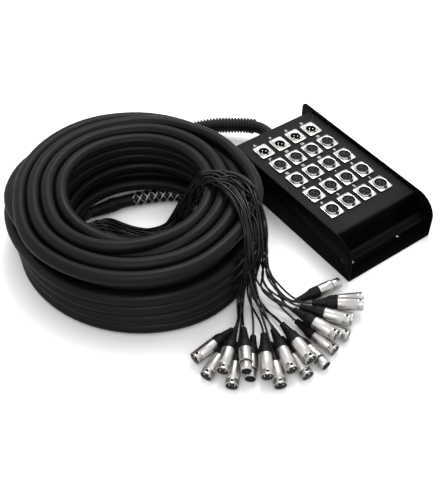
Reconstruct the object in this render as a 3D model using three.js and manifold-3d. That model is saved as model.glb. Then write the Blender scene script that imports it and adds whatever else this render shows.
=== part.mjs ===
// Stage box with its multicore trunk cable, coiled up, and the fan of plugs at the cable's far end.
// Millimetres, +Z up. The origin is the middle of the box's footprint, on the ground.
// +X points to the box's right side plate, -Y to its carrying handle, +Y to its cable exit.
import * as THREE from "three";
import { mergeVertices } from "three/addons/utils/BufferGeometryUtils.js";
import Module from "manifold-3d";

const wasm = await Module();
wasm.setup();

// Driving dimensions of the box
const boxWidth = 175;
const boxLength = 326;
const boxHeight = 72;
const sheet = 2.2;
const frontCorner = 37;
const backCorner = 11;
const rimHeight = 7;
const frontRecess = 44;
const rearOverhang = 21;
const frontFoot = 24;
const backFoot = 14;
const fit = 0.3;
const overrun = 0.2;
const weld = 0.001;

// Handle bar between the side plates
const handleRadius = 8.5;
const handleHeight = 30.7;
const handleInset = 20.5;
const handleBoltRadius = 4;

// Panel sockets
const socketColumns = 4;
const socketRows = 5;
const columnPitch = 34.4;
const rowPitch = 43.5;
const gridShift = 1.5;
const flangeWidth = 26;
const flangeLength = 31;
const flangeThickness = 2;
const flangeCorner = 3;
const bodyRadius = 11.8;
const bodyDepth = 21;
const collarHeight = 2.5;
const plugBore = 9.8;
const plugBoreDepth = 9;
const insertRadius = 7.8;
const insertSink = 0.6;
const inletRim = 0.6;
const inletBore = 8.4;
const inletDepth = 13;
const pinRadius = 1.25;
const pinSpread = 4;
const pinSet = 3.7;
const pinStep = 1;
const pinSink = 2;

const connectorSides = 9;

// Push latches of the sockets
const latchWidth = 5.2;
const latchLength = 3;
const latchInset = 3.2;
const latchProud = 1.3;
const latchTravel = 1.2;

// Wiring inside the box
const loomRadius = 8;
const loomHeight = 24;
const branchWidth = 5;
const wireWidth = 2.4;

// Cable exit
const exitX = 10;
const exitHeight = 34;
const reliefHeadRadius = 16;
const reliefHeadThickness = 4;
const reliefNeckRadius = 12.6;
const reliefMouthRadius = 11.6;
const reliefLength = 20;
const reliefTail = 6;
const reliefTailRadius = 11;
const reliefSides = 10;

// Trunk cable and its ribbed guard
const trunkDiameter = 20.8;
const guardStart = 44;
const guardLength = 132;
const guardBore = 10.85;
const guardRoot = 11.7;
const guardCrest = 12.3;
const ribPitch = 5.7;

// Coil: upright columns of level loops, wound up one column and down the next
const coilCentre = [-291.5, 102];
const coilRadiusX = 191;
const coilRadiusY = 195;
const coilColumns = 4;
const coilLevels = 6;
const levelGap = 1.1;
const columnGap = 2.4;
const groundGap = 0.1;
const coilStart = 0.1;
const coilEnd = 22.78;
const coilTurnOffset = 49;
const climbTurns = 0.24;
const reversalTurns = 0.1;
const stepsPerLoop = 18;

// Shares of the trunk's diameter by which the loops of each level or column stray
const swayXShares = [0, -0.05, -0.14, -0.29, -0.43, -0.58];
const swayYShares = [0, 0, -0.05, -0.1, -0.19, -0.24];
const drawInShares = [0, 0, 0.05, 0.1, 0.24, 0.34];
const domeShares = [0, 0.14, 0.19, 0.05];
const liftShare = 0.29;
const waveShare = 0.03;
const liftBearing = 215;
const liftLevel = 3;
const waveCount = 3;
const wavePhase = 1.7;

// Cable end: woven grip, boot, bundle and cords
const gripStart = 62;
const gripLength = 112;
const gripBore = 10.85;
const gripRadius = 11.8;
const bootRadius = 11.8;
const bootMouthRadius = 9;
const bootLength = 36;
const bundleRadius = 8.2;
const laneRadius = 4.3;
const cordRadius = 1.6;

// Cable plugs
const plugLength = 75;
const shellLength = 38;
const shellRadius = 9.5;
const plugBootTip = 4.7;
const shellBore = 8;
const shellDepth = 14;
const noseRadius = 8.1;
const noseLength = 15;
const noseRing = 1.6;
const noseRingRadius = 7.6;
const buttonLength = 8;
const buttonWidth = 4.6;
const buttonProud = 0.9;
const buttonDepth = 2.2;
const buttonTravel = 1.2;
const plugClearance = 0.9;
const plugPress = 0.3;

// Worked out from the driving dimensions
const panelTop = boxHeight - rimHeight;
const innerWidth = boxWidth - 2 * sheet;
const frontWall = -boxLength / 2 + frontRecess;
const backWall = boxLength / 2 - rearOverhang;
const gridMiddle = (frontWall + backWall) / 2 + gridShift;
const handleY = -boxLength / 2 + handleInset;
const trunkRadius = trunkDiameter / 2;
const levelRise = trunkDiameter + levelGap;
const columnStep = trunkDiameter + columnGap;
const plugBootLength = plugLength - shellLength;

// Colours and finishes
const paint = (color, roughness, metalness) =>
  new THREE.MeshStandardMaterial({ color, roughness, metalness });
const finishes = {
  powder: paint(0x151515, 0.6, 0.2),
  nickel: paint(0xc9c8c4, 0.28, 0.9),
  rubber: paint(0x171717, 0.55, 0),
  hose: paint(0x1c1c1d, 0.5, 0),
  wire: paint(0x8d8f92, 0.35, 0.8),
};

const part = new THREE.Group();

// A closed geometry, moved by a matrix, as a solid whose faces point outwards.
function solid(geometry, matrix = new THREE.Matrix4()) {
  const loose = (geometry.index ? geometry.toNonIndexed() : geometry.clone()).applyMatrix4(matrix);
  const bare = new THREE.BufferGeometry().setAttribute("position", loose.getAttribute("position"));
  const merged = mergeVertices(bare, weld);
  const corners = merged.index.array;
  const triVerts = [];
  for (let i = 0; i < corners.length; i += 3) {
    const [a, b, c] = corners.slice(i, i + 3);
    if (a !== b && b !== c && c !== a) triVerts.push(a, b, c);
  }
  const vertProperties = merged.attributes.position.array;
  const build = (indices) =>
    new wasm.Manifold(
      new wasm.Mesh({ numProp: 3, vertProperties, triVerts: new Uint32Array(indices) }),
    );
  const made = build(triVerts);
  return made.volume() < 0 ? build(triVerts.reverse()) : made;
}

// A finished solid becomes a named mesh in a group.
function addMesh(name, made, finish, group = part) {
  const mesh = made.getMesh();
  const geometry = new THREE.BufferGeometry();
  geometry.setAttribute("position", new THREE.BufferAttribute(mesh.vertProperties, 3));
  geometry.setIndex(new THREE.BufferAttribute(mesh.triVerts, 1));
  geometry.computeVertexNormals();
  const node = new THREE.Mesh(geometry, finish);
  node.name = name;
  group.add(node);
  return node;
}

// Small builders
const move = (x, y, z) => new THREE.Matrix4().makeTranslation(x, y, z);

const block = (width, length, height, x, y, bottom) =>
  solid(new THREE.BoxGeometry(width, length, height), move(x, y, bottom + height / 2));

function polygon(radius, sides) {
  const corner = (k) => {
    const angle = (2 * Math.PI * (k + 1 / 2)) / sides;
    return new THREE.Vector2(radius * Math.cos(angle), radius * Math.sin(angle));
  };
  return new THREE.Shape(Array.from({ length: sides }, (_, k) => corner(k)));
}

function roundedPlate(width, length, corner, thickness) {
  const shape = new THREE.Shape();
  const x = width / 2 - corner;
  const y = length / 2 - corner;
  shape.absarc(x, y, corner, 0, Math.PI / 2);
  shape.absarc(-x, y, corner, Math.PI / 2, Math.PI);
  shape.absarc(-x, -y, corner, Math.PI, (3 * Math.PI) / 2);
  shape.absarc(x, -y, corner, (3 * Math.PI) / 2, 2 * Math.PI);
  return new THREE.ExtrudeGeometry(shape, { depth: thickness, bevelEnabled: false, curveSegments: 1 });
}

// A profile of [radius, height] pairs turned about +Z.
function turned(profile, sides, matrix) {
  const points = profile.map(([radius, height]) => new THREE.Vector2(radius, height));
  const geometry = new THREE.LatheGeometry(points, sides);
  geometry.rotateX(Math.PI / 2);
  geometry.rotateZ(Math.PI / sides);
  return solid(geometry, matrix);
}

// A section of equal sides swept along a curve.
const cable = (curve, radius, sides, steps) =>
  solid(
    new THREE.ExtrudeGeometry(polygon(radius, sides), { steps, bevelEnabled: false, extrudePath: curve }),
  );

const route = (points) =>
  new THREE.CatmullRomCurve3(points.map((p) => new THREE.Vector3(...p)), false, "centripetal");

// Turns +Z of a turned shape to run along X or along Y
const alongX = new THREE.Matrix4().makeRotationY(Math.PI / 2);
const alongY = new THREE.Matrix4().makeRotationX(-Math.PI / 2);

// Folded steel tray: base and both side plates
function makeTray() {
  const side = new THREE.Shape();
  const back = boxLength / 2;
  side.moveTo(-back, 0);
  side.lineTo(back, 0);
  side.absarc(back - backCorner, boxHeight - backCorner, backCorner, 0, Math.PI / 2);
  side.absarc(-back + frontCorner, boxHeight - frontCorner, frontCorner, Math.PI / 2, Math.PI);
  const hole = new THREE.Path();
  hole.absarc(handleY, handleHeight, handleBoltRadius + fit, 0, 2 * Math.PI);
  side.holes.push(hole);
  const plate = new THREE.ExtrudeGeometry(side, { depth: sheet, bevelEnabled: false, curveSegments: 5 });
  const upright = (x) =>
    new THREE.Matrix4()
      .makeBasis(
        new THREE.Vector3(0, 1, 0),
        new THREE.Vector3(0, 0, 1),
        new THREE.Vector3(1, 0, 0),
      )
      .setPosition(x, 0, 0);
  return solid(plate, upright(-boxWidth / 2))
    .add(solid(plate, upright(boxWidth / 2 - sheet)))
    .add(block(innerWidth + 2 * overrun, boxLength, sheet, 0, 0, 0));
}

const socketPlaces = [];
for (let row = 0; row < socketRows; row++)
  for (let column = 0; column < socketColumns; column++)
    socketPlaces.push({
      x: (column - (socketColumns - 1) / 2) * columnPitch,
      y: gridMiddle + ((socketRows - 1) / 2 - row) * rowPitch,
      row,
      column,
    });

// Folded steel cover: front foot and wall, socket panel, back wall and foot
function makeCover() {
  const low = sheet + fit;
  const outline = [
    [frontWall - frontFoot, low],
    [frontWall + sheet, low],
    [frontWall + sheet, panelTop - sheet],
    [backWall - sheet, panelTop - sheet],
    [backWall - sheet, low],
    [backWall + backFoot, low],
    [backWall + backFoot, low + sheet],
    [backWall, low + sheet],
    [backWall, panelTop],
    [frontWall, panelTop],
    [frontWall, low + sheet],
    [frontWall - frontFoot, low + sheet],
  ];
  const width = innerWidth - 2 * fit;
  const shape = new THREE.Shape(outline.map(([y, z]) => new THREE.Vector2(y, z)));
  const folded = new THREE.ExtrudeGeometry(shape, { depth: width, bevelEnabled: false });
  const upright = new THREE.Matrix4()
    .makeBasis(
      new THREE.Vector3(0, 1, 0),
      new THREE.Vector3(0, 0, 1),
      new THREE.Vector3(1, 0, 0),
    )
    .setPosition(-width / 2, 0, 0);
  let cover = solid(folded, upright);
  const hole = [
    [0, -sheet - overrun],
    [bodyRadius + fit, -sheet - overrun],
    [bodyRadius + fit, overrun],
    [0, overrun],
  ];
  for (const { x, y } of socketPlaces)
    cover = cover.subtract(turned(hole, connectorSides, move(x, y, panelTop)));
  const exit = [
    [0, -sheet - overrun],
    [reliefTailRadius + fit, -sheet - overrun],
    [reliefTailRadius + fit, overrun],
    [0, overrun],
  ];
  return cover.subtract(turned(exit, reliefSides, move(exitX, backWall, exitHeight).multiply(alongY)));
}

// Round bar with a bolt end through each side plate
function makeHandle() {
  const half = innerWidth / 2 - fit;
  const end = boxWidth / 2 - fit;
  const profile = [
    [0, -end],
    [handleBoltRadius, -end],
    [handleBoltRadius, -half],
    [handleRadius, -half],
    [handleRadius, half],
    [handleBoltRadius, half],
    [handleBoltRadius, end],
    [0, end],
  ];
  return turned(profile, 12, move(0, handleY, handleHeight).multiply(alongX));
}

// Slot for a push latch, cut through the flange beside the collar
const latchY = -flangeLength / 2 + latchInset;
const latchSlot = (x, y) =>
  block(
    latchWidth + 2 * fit,
    latchLength + 2 * fit,
    fit + flangeThickness + collarHeight + 2 * overrun,
    x,
    y + latchY,
    panelTop + fit - overrun,
  );

// Flange round a connector's body, open in the middle
function flange(x, y) {
  const plate = roundedPlate(flangeWidth, flangeLength, flangeCorner, flangeThickness);
  const middle = (bodyRadius + plugBore) / 2;
  const hole = [
    [0, -overrun],
    [middle, -overrun],
    [middle, flangeThickness + overrun],
    [0, flangeThickness + overrun],
  ];
  const place = move(x, y, panelTop + fit);
  return solid(plate, place).subtract(turned(hole, connectorSides, place));
}

// Input socket: flange, raised collar, ring-shaped gap for a plug's shell, and insert
function makeSocket(x, y) {
  const top = fit + flangeThickness + collarHeight;
  const profile = [
    [0, -bodyDepth],
    [bodyRadius, -bodyDepth],
    [bodyRadius, top],
    [plugBore, top],
    [plugBore, top - plugBoreDepth],
    [insertRadius, top - plugBoreDepth],
    [insertRadius, top - insertSink],
    [0, top - insertSink],
  ];
  return turned(profile, connectorSides, move(x, y, panelTop)).add(flange(x, y)).subtract(latchSlot(x, y));
}

// Return inlet: flange, open bore and three pins
function makeInlet(x, y) {
  const top = fit + flangeThickness + inletRim;
  const floor = top - inletDepth;
  const profile = [
    [0, -bodyDepth],
    [bodyRadius, -bodyDepth],
    [bodyRadius, top],
    [inletBore, top],
    [inletBore, floor],
    [0, floor],
  ];
  const pin = [
    [0, floor - overrun],
    [pinRadius, floor - overrun],
    [pinRadius, top - pinSink],
    [0, top - pinSink],
  ];
  let inlet = turned(profile, connectorSides, move(x, y, panelTop)).add(flange(x, y));
  for (const [px, py] of [[-pinSpread, -pinStep], [pinSpread, -pinStep], [0, pinSet]])
    inlet = inlet.add(turned(pin, 5, move(x + px, y + py, panelTop)));
  return inlet;
}

// Push latch tab, resting one travel above the panel
const makeLatch = (x, y) =>
  block(
    latchWidth,
    latchLength,
    flangeThickness + latchProud - latchTravel,
    x,
    y + latchY,
    panelTop + fit + latchTravel,
  );

// Wiring: the trunk's opened end, and for each row of sockets a branch with a riser to each
function makeLoom() {
  const lastRow = socketPlaces[socketPlaces.length - 1].y;
  const start = backWall - sheet - reliefTail - fit;
  const run = start - 3 * loomRadius;
  const middle = loomHeight + loomRadius / 2;
  const crank = route([
    [exitX, start, exitHeight],
    [exitX, start - loomRadius, exitHeight],
    [exitX / 2, start - 2 * loomRadius, (exitHeight + middle) / 2],
    [0, run, middle],
    [0, run - loomRadius, middle],
  ]);
  let loom = cable(crank, loomRadius, 8, 4).add(
    block(loomRadius, run - lastRow, loomRadius, 0, (run + lastRow) / 2, loomHeight),
  );
  const socketFloor = panelTop - bodyDepth - fit;
  const comb = new THREE.Shape();
  const reach = ((socketColumns - 1) * columnPitch + wireWidth) / 2;
  comb.moveTo(-reach, loomHeight);
  comb.lineTo(reach, loomHeight);
  for (let column = socketColumns - 1; column >= 0; column--) {
    const x = (column - (socketColumns - 1) / 2) * columnPitch;
    if (column < socketColumns - 1) comb.lineTo(x + wireWidth / 2, loomHeight + branchWidth);
    comb.lineTo(x + wireWidth / 2, socketFloor);
    comb.lineTo(x - wireWidth / 2, socketFloor);
    if (column > 0) comb.lineTo(x - wireWidth / 2, loomHeight + branchWidth);
  }
  const upright = new THREE.Matrix4().makeRotationX(Math.PI / 2);
  const branch = new THREE.ExtrudeGeometry(comb, { depth: wireWidth, bevelEnabled: false });
  for (let row = 0; row < socketRows; row++) {
    const { y } = socketPlaces[row * socketColumns];
    loom = loom.add(solid(branch, move(0, y + wireWidth / 2, 0).multiply(upright)));
  }
  return loom;
}

// One-piece strain relief, snapped through the back wall
function makeRelief() {
  const profile = [
    [0, -sheet - reliefTail],
    [reliefTailRadius, -sheet - reliefTail],
    [reliefTailRadius, fit],
    [reliefHeadRadius, fit],
    [reliefHeadRadius, reliefHeadThickness],
    [reliefNeckRadius, reliefHeadThickness],
    [reliefMouthRadius, reliefLength],
    [0, reliefLength],
  ];
  return turned(profile, reliefSides, move(exitX, backWall, exitHeight).multiply(alongY));
}

// Easing with a level start and end
function ease(t) {
  const u = Math.min(Math.max(t, 0), 1);
  return u * u * u * (u * (6 * u - 15) + 10);
}

// Where along the winding, in turns, the cable climbs, drops or steps to the next column
function windingMoves() {
  const moves = [];
  let at = 0;
  for (let column = 0; column < coilColumns; column++) {
    const climb = column % 2 === 0 ? 1 : -1;
    for (let level = 1; level < coilLevels; level++) {
      at += level === 1 && column > 0 ? 1 - reversalTurns : 1;
      moves.push({ at, column: 0, level: climb });
    }
    at += 1 - reversalTurns;
    if (column < coilColumns - 1) moves.push({ at, column: 1, level: 0 });
  }
  return moves;
}
const moves = windingMoves();

// A table of shares read between its entries
function between(shares, place) {
  const low = Math.min(Math.floor(place), shares.length - 2);
  return THREE.MathUtils.lerp(shares[low], shares[low + 1], place - low);
}

// A point of the coil's centre line, a number of turns along the winding
function coilPoint(turns) {
  let column = 0;
  let level = 0;
  for (const step of moves) {
    const share = ease((turns - step.at) / climbTurns + 1 / 2);
    column += step.column * share;
    level += step.level * share;
  }
  const angle = THREE.MathUtils.degToRad(coilTurnOffset) + 2 * Math.PI * turns;
  const wave = waveShare * Math.sin(waveCount * angle + wavePhase * level);
  const inset = columnStep * column + (between(drawInShares, level) - wave) * trunkDiameter;
  const facing = (1 + Math.cos(angle - THREE.MathUtils.degToRad(liftBearing))) / 2;
  const lifted = THREE.MathUtils.smoothstep(level, liftLevel, liftLevel + 1) * liftShare * facing;
  const dome = (between(domeShares, column) * level) / (coilLevels - 1);
  return new THREE.Vector3(
    coilCentre[0] + between(swayXShares, level) * trunkDiameter + (coilRadiusX - inset) * Math.cos(angle),
    coilCentre[1] + between(swayYShares, level) * trunkDiameter + (coilRadiusY - inset) * Math.sin(angle),
    groundGap + trunkRadius + levelRise * level + (lifted + dome) * trunkDiameter,
  );
}

// Direction of the winding at a number of turns
function coilHeading(turns) {
  const nudge = 1 / 1000;
  return coilPoint(turns + nudge).sub(coilPoint(turns - nudge)).normalize();
}

// The coil's centre line with a straight diameter at each end, and the angle each ring faces
function coilStations() {
  const count = Math.round((coilEnd - coilStart) * stepsPerLoop);
  const stations = [];
  for (let i = 0; i <= count; i++) {
    const turns = THREE.MathUtils.lerp(coilStart, coilEnd, i / count);
    stations.push({ point: coilPoint(turns), heading: coilHeading(turns), turns });
  }
  const first = stations[0];
  const last = stations[count];
  const lead = first.point.clone().addScaledVector(first.heading, -trunkDiameter);
  const trail = last.point.clone().addScaledVector(last.heading, trunkDiameter);
  return [{ ...first, point: lead }, ...stations, { ...last, point: trail }];
}

// Rings of corners round a line of stations, closed at both ends
function ringTube(stations, radius, sides) {
  const up = new THREE.Vector3(0, 0, 1);
  const corners = [];
  const faces = [];
  for (const { point, heading } of stations) {
    const out = new THREE.Vector3().crossVectors(heading, up).normalize();
    const rise = new THREE.Vector3().crossVectors(out, heading);
    for (let k = 0; k < sides; k++) {
      const angle = Math.PI / 2 + (2 * Math.PI * k) / sides;
      const corner = point
        .clone()
        .addScaledVector(out, radius * Math.cos(angle))
        .addScaledVector(rise, radius * Math.sin(angle));
      corners.push(corner.x, corner.y, corner.z);
    }
  }
  const last = (stations.length - 1) * sides;
  for (let i = 0; i < last; i += sides)
    for (let k = 0; k < sides; k++) {
      const next = (k + 1) % sides;
      faces.push(i + k, i + next, i + sides + next, i + k, i + sides + next, i + sides + k);
    }
  for (let k = 1; k < sides - 1; k++) {
    faces.push(0, k + 1, k);
    faces.push(last, last + k, last + k + 1);
  }
  const geometry = new THREE.BufferGeometry();
  geometry.setAttribute("position", new THREE.Float32BufferAttribute(corners, 3));
  geometry.setIndex(faces);
  return geometry;
}

// The least clear distance between turns of the coil's own rings and the straights between them
function leastCoilGap(stations) {
  const perStep = 6;
  const samples = [];
  for (let i = 1; i < stations.length - 2; i++)
    for (let k = 0; k < perStep; k++) {
      const share = k / perStep;
      samples.push({
        turns: THREE.MathUtils.lerp(stations[i].turns, stations[i + 1].turns, share),
        point: stations[i].point.clone().lerp(stations[i + 1].point, share),
      });
    }
  let least = Infinity;
  for (const a of samples)
    for (const b of samples)
      if (b.turns - a.turns > 1 / 2) least = Math.min(least, a.point.distanceTo(b.point));
  return least - trunkDiameter;
}

const winding = coilStations();
console.log("least gap of the coil to itself, mm: " + leastCoilGap(winding).toFixed(2));

// Trunk routes outside the coil. The first and last points follow from what they meet.
const coilFirst = winding[0];
const coilLast = winding[winding.length - 1];
const beyond = (station, distance) =>
  station.point.clone().addScaledVector(station.heading, distance).toArray();
const leadRoute = route([
  [exitX, backWall + reliefLength + fit, exitHeight],
  [exitX, backWall + reliefLength + trunkRadius, exitHeight],
  [8, 184, 33.8],
  [3, 195, 33.2],
  [-5, 205.5, 32.5],
  [-16, 216.5, 31.5],
  [-29, 228.5, 29.8],
  [-42, 241, 27.5],
  [-57, 253, 24.5],
  [-74, 263.5, 21],
  [-93, 271.5, 17.5],
  [-115, 276.5, 14.2],
  [-139, 279.5, 12],
  [-163, 282.5, 10.9],
  [-188, 286, 10.5],
  [-212, 289.5, 10.5],
  beyond(coilFirst, -trunkDiameter / 2 - fit),
  beyond(coilFirst, -fit),
]);
const tailRoute = route([
  beyond(coilLast, fit),
  beyond(coilLast, trunkRadius),
  [-169.5, 85, 10.6],
  [-170.5, 101, 11],
  [-177, 117, 11.5],
  [-185.5, 132, 12.1],
  [-197, 145, 12.3],
  [-213, 156, 12.3],
  [-231, 165.5, 12.3],
  [-250, 174, 12.3],
  [-270, 181.5, 12.3],
  [-288, 186.5, 12.3],
  [-303, 188.5, 12.3],
]);
const leadSteps = 17;
const tailSteps = 11;

// Frames spaced along a route, with the extrusion's own directions, and between them
function framesOf(curve, steps) {
  const { tangents, normals, binormals } = curve.computeFrenetFrames(steps, false);
  const length = curve.getLength();
  return (distance) => {
    const place = THREE.MathUtils.clamp(distance / length, 0, 1);
    const low = Math.min(Math.floor(place * steps), steps - 1);
    const share = place * steps - low;
    return {
      point: curve.getPointAt(place),
      tangent: tangents[low].clone().lerp(tangents[low + 1], share).normalize(),
      normal: normals[low].clone().lerp(normals[low + 1], share).normalize(),
      binormal: binormals[low].clone().lerp(binormals[low + 1], share).normalize(),
    };
  };
}

// A sleeve round a route: outer rings of given distance and radius, and a bore on its own rings
function sleeve(frameAt, outer, inner, sides) {
  const corners = [];
  const faces = [];
  const addRing = ({ distance, radius }) => {
    const { point, normal, binormal } = frameAt(distance);
    for (let k = 0; k < sides; k++) {
      const angle = (2 * Math.PI * (k + 1 / 2)) / sides;
      const corner = point
        .clone()
        .addScaledVector(normal, radius * Math.cos(angle))
        .addScaledVector(binormal, radius * Math.sin(angle));
      corners.push(corner.x, corner.y, corner.z);
    }
  };
  outer.forEach(addRing);
  inner.forEach(addRing);
  const bridge = (from, to) => {
    for (let k = 0; k < sides; k++) {
      const next = (k + 1) % sides;
      faces.push(from + k, to + next, from + next, from + k, to + k, to + next);
    }
  };
  const bore = outer.length * sides;
  for (let i = 0; i < outer.length - 1; i++) bridge(i * sides, (i + 1) * sides);
  for (let i = 0; i < inner.length - 1; i++) bridge(bore + (i + 1) * sides, bore + i * sides);
  bridge(bore, 0);
  bridge((outer.length - 1) * sides, bore + (inner.length - 1) * sides);
  const geometry = new THREE.BufferGeometry();
  geometry.setAttribute("position", new THREE.Float32BufferAttribute(corners, 3));
  geometry.setIndex(faces);
  return solid(geometry);
}

// Distances of the bore's rings: the ends, and each of the cable's own rings in between
function boreRings(length, steps, from, to, radius) {
  const rings = [{ distance: from, radius }];
  for (let i = 1; i < steps; i++) {
    const distance = (length * i) / steps;
    if (distance > from + radius / 2 && distance < to - radius / 2) rings.push({ distance, radius });
  }
  rings.push({ distance: to, radius });
  return rings;
}

function makeGuard() {
  const ribs = Math.round(guardLength / ribPitch);
  const pitch = guardLength / ribs;
  const outer = [];
  for (let i = 0; i < ribs; i++) {
    outer.push({ distance: guardStart + i * pitch, radius: i === 0 ? guardCrest : guardRoot });
    outer.push({ distance: guardStart + (i + 1 / 2) * pitch, radius: guardCrest });
  }
  outer.push({ distance: guardStart + guardLength, radius: guardRoot });
  const inner = boreRings(
    leadRoute.getLength(), leadSteps, guardStart, guardStart + guardLength, guardBore,
  );
  return sleeve(framesOf(leadRoute, leadSteps), outer, inner, 8);
}

function makeGrip() {
  const rings = (radius) =>
    boreRings(tailRoute.getLength(), tailSteps, gripStart, gripStart + gripLength, radius);
  const inner = rings(gripBore);
  const outer = inner.map(({ distance }) => ({ distance, radius: gripRadius }));
  return sleeve(framesOf(tailRoute, tailSteps), outer, inner, 8);
}

// Boot over the trunk's end, where the cords come out
const tailEnd = tailRoute.getPointAt(1);
const tailHeading = tailRoute.getTangentAt(1);
function makeBoot() {
  const turn = new THREE.Matrix4().makeRotationFromQuaternion(
    new THREE.Quaternion().setFromUnitVectors(new THREE.Vector3(0, 0, 1), tailHeading),
  );
  const profile = [
    [0, fit],
    [trunkRadius, fit],
    [bootRadius - 2 * fit, 2 * fit],
    [bootMouthRadius, bootLength],
    [0, bootLength],
  ];
  return turned(profile, 10, move(...tailEnd.toArray()).multiply(turn));
}

// Route of the whole bundle in the coil's hole, from the boot up to the coil's inner edge
const fromBoot = (distance) =>
  tailEnd.clone().addScaledVector(tailHeading, bootLength + distance).toArray();
const bundleRoute = route([
  fromBoot(fit),
  fromBoot(bundleRadius / 2),
  [-352, 190.5, 11.4],
  [-362, 185.5, 10.5],
  [-367, 176, 9.6],
  [-365, 165, 9],
  [-356, 154, 8.7],
  [-341, 143, 8.6],
  [-328, 134, 8.6],
  [-312, 124, 8.6],
  [-295, 115, 8.6],
  [-279, 108, 9],
  [-264, 103, 12],
  [-252, 97, 22],
  [-244, 88, 40],
  [-238, 78, 62],
  [-232, 68, 88],
  [-229, 62, 106],
]);

// Middle line of the four lanes of cords over the coil, down its side and along the ground
const laneRoute = [
  [-232, 69, 90],
  [-230, 61, 112],
  [-225, 52, 134],
  [-212, 42, 147],
  [-195, 29, 150],
  [-183, 11, 150],
  [-179, -8, 149],
  [-181, -26, 149],
  [-185, -44, 148],
  [-189, -60, 144],
  [-191, -74, 135],
  [-192, -82, 120],
  [-194, -86, 100],
  [-198, -89, 80],
  [-205, -92, 60],
  [-212, -96, 40],
  [-219, -101, 22],
  [-227, -108, 9],
  [-234, -116, 4.6],
];
const laneSpreads = [5.2, 8.9, 9, 9.2, 9.6, 10.2, 11, 11.5, 12, 12, 12, 12, 12, 12, 11.5, 11, 10.5, 9.5, 8.5];
const laneSide = [0.87, 0.5];
const laneCount = 4;

// Where the cords of a lane leave its end, in cord radii: aside and up
const laneCordShares = [[-1.9, -0.6], [-1.05, 0.95], [0, -0.75], [1.05, 0.95], [1.9, -0.6]];

const laneCurve = (lane) =>
  route(
    laneRoute.map(([x, y, z], i) => {
      const aside = (lane - (laneCount - 1) / 2) * laneSpreads[i];
      return [x + aside * laneSide[0], y + aside * laneSide[1], z];
    }),
  );

// The fan of plugs, from left to right. The shares place each boot's tip from the fan's centre,
// in plug lengths, and the bearing is the plug's own. The upper ones lie on their neighbours.
const plugCentre = [-232, -138];
const plugFan = [
  { xShare: -0.84, yShare: -0.053, bearing: -172, upper: true, kind: "male" },
  { xShare: -0.947, yShare: -0.187, bearing: -156, upper: false, kind: "male" },
  { xShare: -0.86, yShare: -0.147, bearing: -139.8, upper: true, kind: "male" },
  { xShare: -0.907, yShare: -0.333, bearing: -134, upper: false, kind: "male" },
  { xShare: -0.733, yShare: -0.253, bearing: -124, upper: true, kind: "female" },
  { xShare: -0.573, yShare: -0.36, bearing: -130.5, upper: false, kind: "female" },
  { xShare: -0.467, yShare: -0.533, bearing: -123.5, upper: true, kind: "male" },
  { xShare: -0.413, yShare: -0.68, bearing: -117, upper: false, kind: "male" },
  { xShare: -0.247, yShare: -0.547, bearing: -107.5, upper: true, kind: "male" },
  { xShare: -0.16, yShare: -0.707, bearing: -99, upper: false, kind: "male" },
  { xShare: -0.053, yShare: -0.573, bearing: -95.5, upper: true, kind: "male" },
  { xShare: 0.073, yShare: -0.72, bearing: -88, upper: false, kind: "female" },
  { xShare: 0.347, yShare: -0.447, bearing: -75, upper: true, kind: "male" },
  { xShare: 0.333, yShare: -0.56, bearing: -82, upper: false, kind: "male" },
  { xShare: 0.487, yShare: -0.533, bearing: -65, upper: false, kind: "male" },
  { xShare: 0.507, yShare: -0.44, bearing: -56, upper: true, kind: "male" },
  { xShare: 0.593, yShare: -0.427, bearing: -48, upper: false, kind: "male" },
  { xShare: 0.793, yShare: -0.48, bearing: -37.5, upper: true, kind: "male" },
  { xShare: 0.907, yShare: -0.413, bearing: -28, upper: false, kind: "male" },
  { xShare: 0.693, yShare: -0.173, bearing: -7, upper: false, kind: "female" },
];
const plugGroups = [
  { name: "male_plugs_1_to_4", members: [0, 1, 2, 3] },
  { name: "male_plugs_7_to_11", members: [6, 7, 8, 9, 10] },
  { name: "male_plugs_13_and_14", members: [12, 13] },
  { name: "male_plugs_15_to_19", members: [14, 15, 16, 17, 18] },
];
const groupOf = (index) => plugGroups.findIndex(({ members }) => members.includes(index));

// Boot's tip and axis of a plug, in plan
function plugPlan(index) {
  const { xShare, yShare, bearing } = plugFan[index];
  const angle = THREE.MathUtils.degToRad(bearing);
  return {
    tip: new THREE.Vector2(plugCentre[0] + xShare * plugLength, plugCentre[1] + yShare * plugLength),
    axis: new THREE.Vector2(Math.cos(angle), Math.sin(angle)),
  };
}

// Places along a plug, in plan, with the plug's radius at each
function plugStations(index) {
  const { tip, axis } = plugPlan(index);
  const count = 50;
  return Array.from({ length: count + 1 }, (_, i) => {
    const distance = (plugLength * i) / count;
    const share = distance / plugBootLength;
    const radius = THREE.MathUtils.lerp(plugBootTip, shellRadius, Math.min(share, 1));
    return { place: tip.clone().addScaledVector(axis, distance), radius };
  });
}

// How far an upper plug's axis lies above a lower one's: clear of it, or pressed on it in a group
function liftOver(upper, lower) {
  const joined = groupOf(upper) >= 0 && groupOf(upper) === groupOf(lower);
  const gap = joined ? -plugPress : plugClearance;
  let most = 0;
  for (const over of plugStations(upper))
    for (const under of plugStations(lower)) {
      const reach = over.radius + under.radius + gap;
      most = Math.max(most, reach * reach - over.place.distanceToSquared(under.place));
    }
  return Math.sqrt(most);
}

function plugHeight(index) {
  const rest = shellRadius + groundGap;
  if (!plugFan[index].upper) return rest;
  const lower = plugFan.map((_, k) => k).filter((k) => !plugFan[k].upper);
  return rest + Math.max(...lower.map((k) => liftOver(index, k)));
}
const plugHeights = plugFan.map((_, index) => plugHeight(index));

// Frame of a plug: +Z along its axis away from the cord, +Y up
function plugMatrix(index) {
  const { tip, axis } = plugPlan(index);
  const along = new THREE.Vector3(axis.x, axis.y, 0);
  const up = new THREE.Vector3(0, 0, 1);
  const across = new THREE.Vector3().crossVectors(up, along);
  return new THREE.Matrix4().makeBasis(across, up, along).setPosition(tip.x, tip.y, plugHeights[index]);
}

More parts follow.
